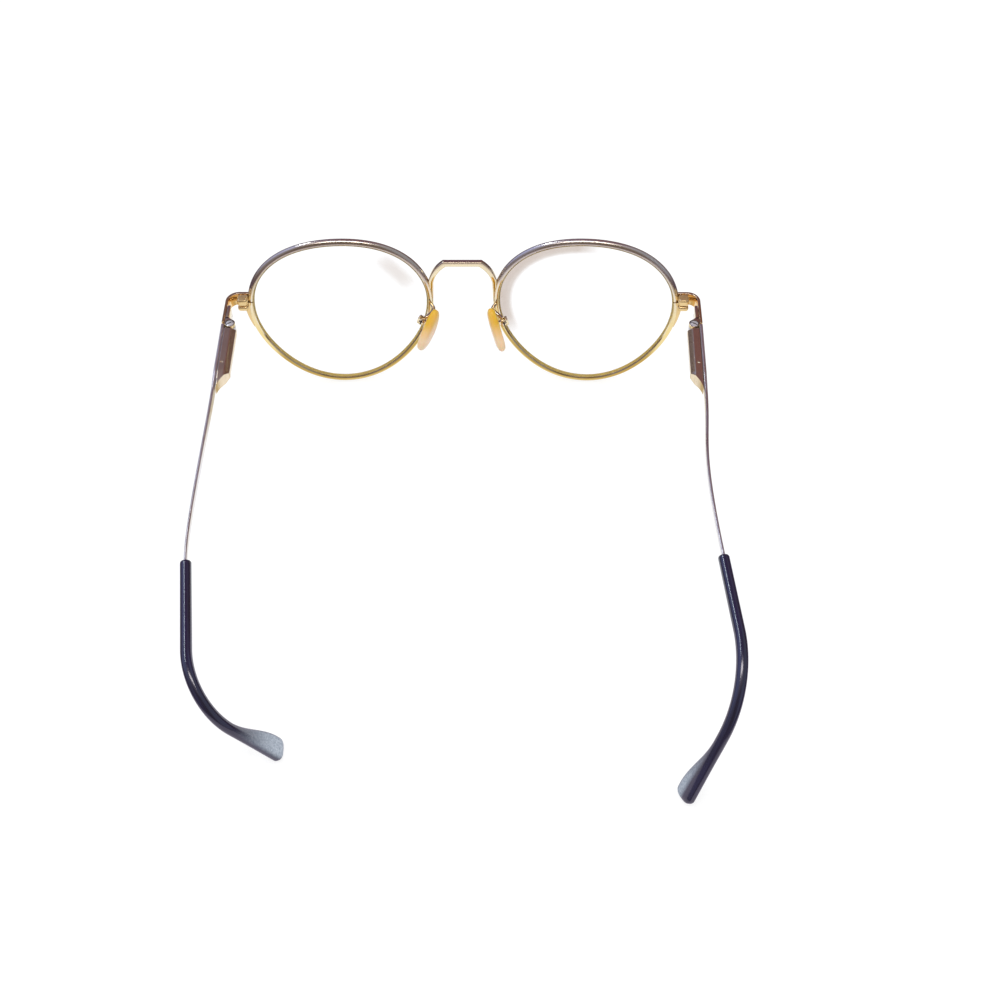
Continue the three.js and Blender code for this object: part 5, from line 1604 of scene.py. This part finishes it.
# %% [markdown]
# ## Table, room and light
# The table is white paper, lit until it is white in the picture, and it keeps a faint shadow. Bright
# metal shows what lies around it, so mirror rays see a sheet of white paper under the glasses, with a
# painted shadow of the glasses just behind the rims and a dark table beyond it. To the camera, also
# through a lens, everything round the glasses is white. Two tables, each hidden from some rays, would do
# as well, but one material that asks what kind of ray has come is easier to keep.

# %% Table
WHITE = (1, 1, 1, 1)
PAPER_GLOW = 0.77
TABLE_HALF = 1.5


def seen_directly(tree):
    """One for rays from the camera, and for those that passed a lens without meeting a mirror before."""
    path = add_node(tree, "ShaderNodeLightPath").outputs
    unmirrored = maths(tree, "LESS_THAN", path["Glossy Depth"], 0.5)
    through = maths(tree, "MULTIPLY", path["Is Transmission Ray"], unmirrored)
    return maths(tree, "MAXIMUM", path["Is Camera Ray"], through), path["Is Glossy Ray"]


def mirrored_sheet(tree, place):
    """Paper as mirrors see it: a painted warm shadow behind the rims, cool at the back, dark past its edges.
    """
    parts = add_node(tree, "ShaderNodeSeparateXYZ", {0: place}).outputs
    depth = parts["Y"]
    beside = maths(tree, "ABSOLUTE", parts["X"])
    # A painted shadow of the glasses on the paper, just behind the rims, as mirrors see it.
    behind_rims = ramp(tree, depth, 0, 1, 0.002, 0.006)
    shade = maths(tree, "MULTIPLY", behind_rims, ramp(tree, depth, 1, 0, 0.016, 0.026))
    shade = maths(tree, "MULTIPLY", shade, ramp(tree, beside, 1, 0, 0.055, 0.060))
    return layered(tree, (1, 1.02, 1.08, 1), [
        (shade, (0.60, 0.51, 0.31, 1)),
        (ramp(tree, depth, 0, 1, 0.070, 0.095), (0.62, 0.57, 0.66, 1)),
        (ramp(tree, beside, 0, 1, 0.085, 0.120), (0.10, 0.07, 0.11, 1)),
        (ramp(tree, depth, 1, 0, -0.12, -0.05), (0.10, 0.07, 0.10, 1)),
        (ramp(tree, depth, 0, 1, 0.26, 0.45), (0.22, 0.17, 0.15, 1)),
    ])


def table_finish():
    """White paper with a glow for camera rays, a shaded sheet for mirror rays, plain for the rest."""
    material, tree = empty_finish("white table")
    seen, glossy = seen_directly(tree)
    place = object_place(tree)
    fibre = ramp(tree, noise(tree, place, 900, 3), 0.0, 1.0, 0.3, 0.7)
    paper = mix_colour(tree, fibre, (0.30, 0.30, 0.30, 1), (0.32, 0.32, 0.32, 1))
    shaded = add_node(tree, "ShaderNodeBsdfDiffuse", {"Color": paper})
    glow = add_node(tree, "ShaderNodeEmission", {"Color": WHITE, "Strength": PAPER_GLOW})
    white = add_node(tree, "ShaderNodeAddShader", {0: shaded.outputs[0], 1: glow.outputs[0]})
    mirrored = add_node(tree, "ShaderNodeEmission", {"Color": mirrored_sheet(tree, place), "Strength": 1.0})
    plain = add_node(tree, "ShaderNodeBsdfDiffuse", {"Color": (0.8, 0.8, 0.8, 1)})
    both = mix_shader(tree, seen, mix_shader(tree, glossy, plain, mirrored), white)
    add_node(tree, "ShaderNodeOutputMaterial", {"Surface": both.outputs[0]})
    return material


def add_table():
    """One square face on the ground."""
    mesh = bpy.data.meshes.new("table")
    corners = np.array([[-1, -1, 0], [1, -1, 0], [1, 1, 0], [-1, 1, 0]]) * TABLE_HALF
    mesh.from_pydata(corners.tolist(), [], [[0, 1, 2, 3]])
    mesh.materials.append(table_finish())
    table = bpy.data.objects.new("table", mesh)
    bpy.context.scene.collection.objects.link(table)

add_table()
print("table added,", 2 * TABLE_HALF, "m wide")

# %% [markdown]
# ### The room
# A photograph of a room, wrapped round the scene, is the usual thing for metal to mirror. Here the room
# is worked out from the direction, so that each part can be moved until the metal looks right. It has a
# dark front wall, red-brown on one side and mauve on the other, a lavender wall beside a window, a
# ceiling with a soft light, and a brown wall behind the camera. Ramps of colour run from the front wall
# over the ceiling to the wall behind, and the direction's x says which ramp is seen.

# %% Room
FRONT_WALL, CEILING, BACK_WALL = 0.0, 0.5, 1.0
MAUVE_SIDE = [
    (FRONT_WALL, (0.12, 0.07, 0.15)), (0.20, (0.15, 0.10, 0.19)), (0.30, (0.21, 0.18, 0.21)),
    (0.37, (0.15, 0.10, 0.19)), (CEILING, (0.14, 0.09, 0.18)), (0.58, (0.42, 0.36, 0.46)),
    (0.66, (0.42, 0.36, 0.46)), (0.73, (0.13, 0.10, 0.09)), (BACK_WALL, (0.12, 0.09, 0.08)),
]
BROWN_SIDE = [
    (FRONT_WALL, (0.10, 0.05, 0.08)), (0.20, (0.15, 0.08, 0.12)), (0.30, (0.21, 0.10, 0.09)),
    (0.37, (0.15, 0.09, 0.15)), (CEILING, (0.15, 0.11, 0.18)), (0.58, (0.42, 0.37, 0.46)),
    (0.66, (0.42, 0.37, 0.46)), (0.73, (0.14, 0.11, 0.10)), (BACK_WALL, (0.13, 0.10, 0.09)),
]
WINDOW_SIDE = [
    (FRONT_WALL, (0.13, 0.10, 0.12)), (0.14, (0.16, 0.13, 0.15)), (0.20, (0.28, 0.31, 0.58)),
    (0.34, (0.36, 0.40, 0.74)), (0.60, (0.42, 0.45, 0.74)), (0.74, (0.24, 0.23, 0.32)),
    (BACK_WALL, (0.18, 0.16, 0.18)),
]
PLAIN_LIGHT = 0.80


def wall_colours(tree, turn, stops):
    """Colours along the half circle from the front horizon over the ceiling to the back horizon."""
    node = add_node(tree, "ShaderNodeValToRGB", {"Fac": turn})
    elements = node.color_ramp.elements
    elements[0].position, elements[1].position = stops[0][0], stops[-1][0]
    for position, _ in stops[1:-1]:
        elements.new(position)
    for element, (_, colour) in zip(elements, stops):
        element.color = (*colour, 1)
    return node.outputs[0]


def room_colour(tree):
    """The room by direction: turn is the angle over the front horizon, x says how far to the side it lies."""
    way = add_node(tree, "ShaderNodeTexCoord").outputs["Generated"]
    parts = add_node(tree, "ShaderNodeSeparateXYZ", {0: way}).outputs
    front = maths(tree, "MULTIPLY", parts["Y"], -1.0)
    turn = maths(tree, "DIVIDE", maths(tree, "ARCTAN2", parts["Z"], front), np.pi)
    far_up = ramp(tree, turn, 0, 1, 0.22, 0.34)
    return layered(tree, wall_colours(tree, turn, BROWN_SIDE), [
        (ramp(tree, parts["X"], 0, 1, -0.12, 0.22), wall_colours(tree, turn, MAUVE_SIDE)),
        (ramp(tree, parts["X"], 0, 1, 0.28, 0.55), wall_colours(tree, turn, WINDOW_SIDE)),
        (
            ramp(tree, parts["X"], 0, 1, -0.34, -0.60),
            mix_colour(tree, far_up, (0.13, 0.07, 0.06, 1), (0.28, 0.29, 0.37, 1)),
        ),
    ])


def add_room():
    """World: white where seen directly, a room for mirror rays, plain white light for the rest."""
    world = bpy.data.worlds.new("room")
    world.use_nodes = True
    bpy.context.scene.world = world
    tree = world.node_tree
    tree.nodes.clear()
    seen, glossy = seen_directly(tree)
    room = add_node(tree, "ShaderNodeBackground", {"Color": room_colour(tree), "Strength": 1.0})
    plain = add_node(tree, "ShaderNodeBackground", {"Color": WHITE, "Strength": PLAIN_LIGHT})
    white = add_node(tree, "ShaderNodeBackground", {"Color": WHITE, "Strength": 1.0})
    both = mix_shader(tree, seen, mix_shader(tree, glossy, plain, room), white)
    add_node(tree, "ShaderNodeOutputWorld", {"Surface": both.outputs[0]})


add_room()
print("room has", len(MAUVE_SIDE) + len(BROWN_SIDE) + len(WINDOW_SIDE), "stops of colour")

# %% [markdown]
# ### Lamps
# Two soft lamps add what the even light lacks: bright streaks on metal and plastic, and a faint shadow.
# One is a broad lamp over the table, and the other stands for a tall narrow window at the side. A Sun
# lamp would be simpler, but its streaks would be thin and its shadow hard.

# %% Lamps
LAMP_AIM = np.array([0, 0.04, 0.02])


def add_lamp(name, place, width, length, power, colour):
    """A soft light that faces the glasses, its length in the plane of the temples' direction."""
    data = bpy.data.lights.new(name, "AREA")
    data.shape = "RECTANGLE"
    data.size, data.size_y = width, length
    data.energy = power
    data.color = colour
    back = unit(np.array(place) - LAMP_AIM)
    along = unit(np.array([0, 1, 0]) - back[1] * back)
    lamp = aimed(data, np.stack([np.cross(along, back), along, back]), place)
    lamp.visible_camera = False


add_lamp(
    "lamp over the table",
    place=(0.0, 0.227, 0.403), width=0.24, length=0.07, power=0.28, colour=(1.0, 0.95, 0.97),
)
add_lamp(
    "narrow window",
    place=(0.473, -0.17, 0.94), width=0.05, length=0.62, power=1.5, colour=(0.80, 0.90, 1.0),
)
print("lamps:", [light.name for light in bpy.data.lights])

# %% [markdown]
# ## Final settings and sizes
# The Standard view transform shows colours as they are written. The box of the CAD model and the box of
# the dressed model are kept side by side, so that any piece that strays from its CAD size is noticed.

# %% Sizes and finish
scene = bpy.context.scene
scene.view_settings.view_transform = "Standard"
worst = sorted(made_pieces, key=lambda row: -row[2])[:6]
print("pieces:", len(made_pieces), "faces:", sum(row[1] for row in made_pieces))
print("largest departures from the CAD boxes, mm:", [(name, round(off, 2)) for name, _, off in worst])
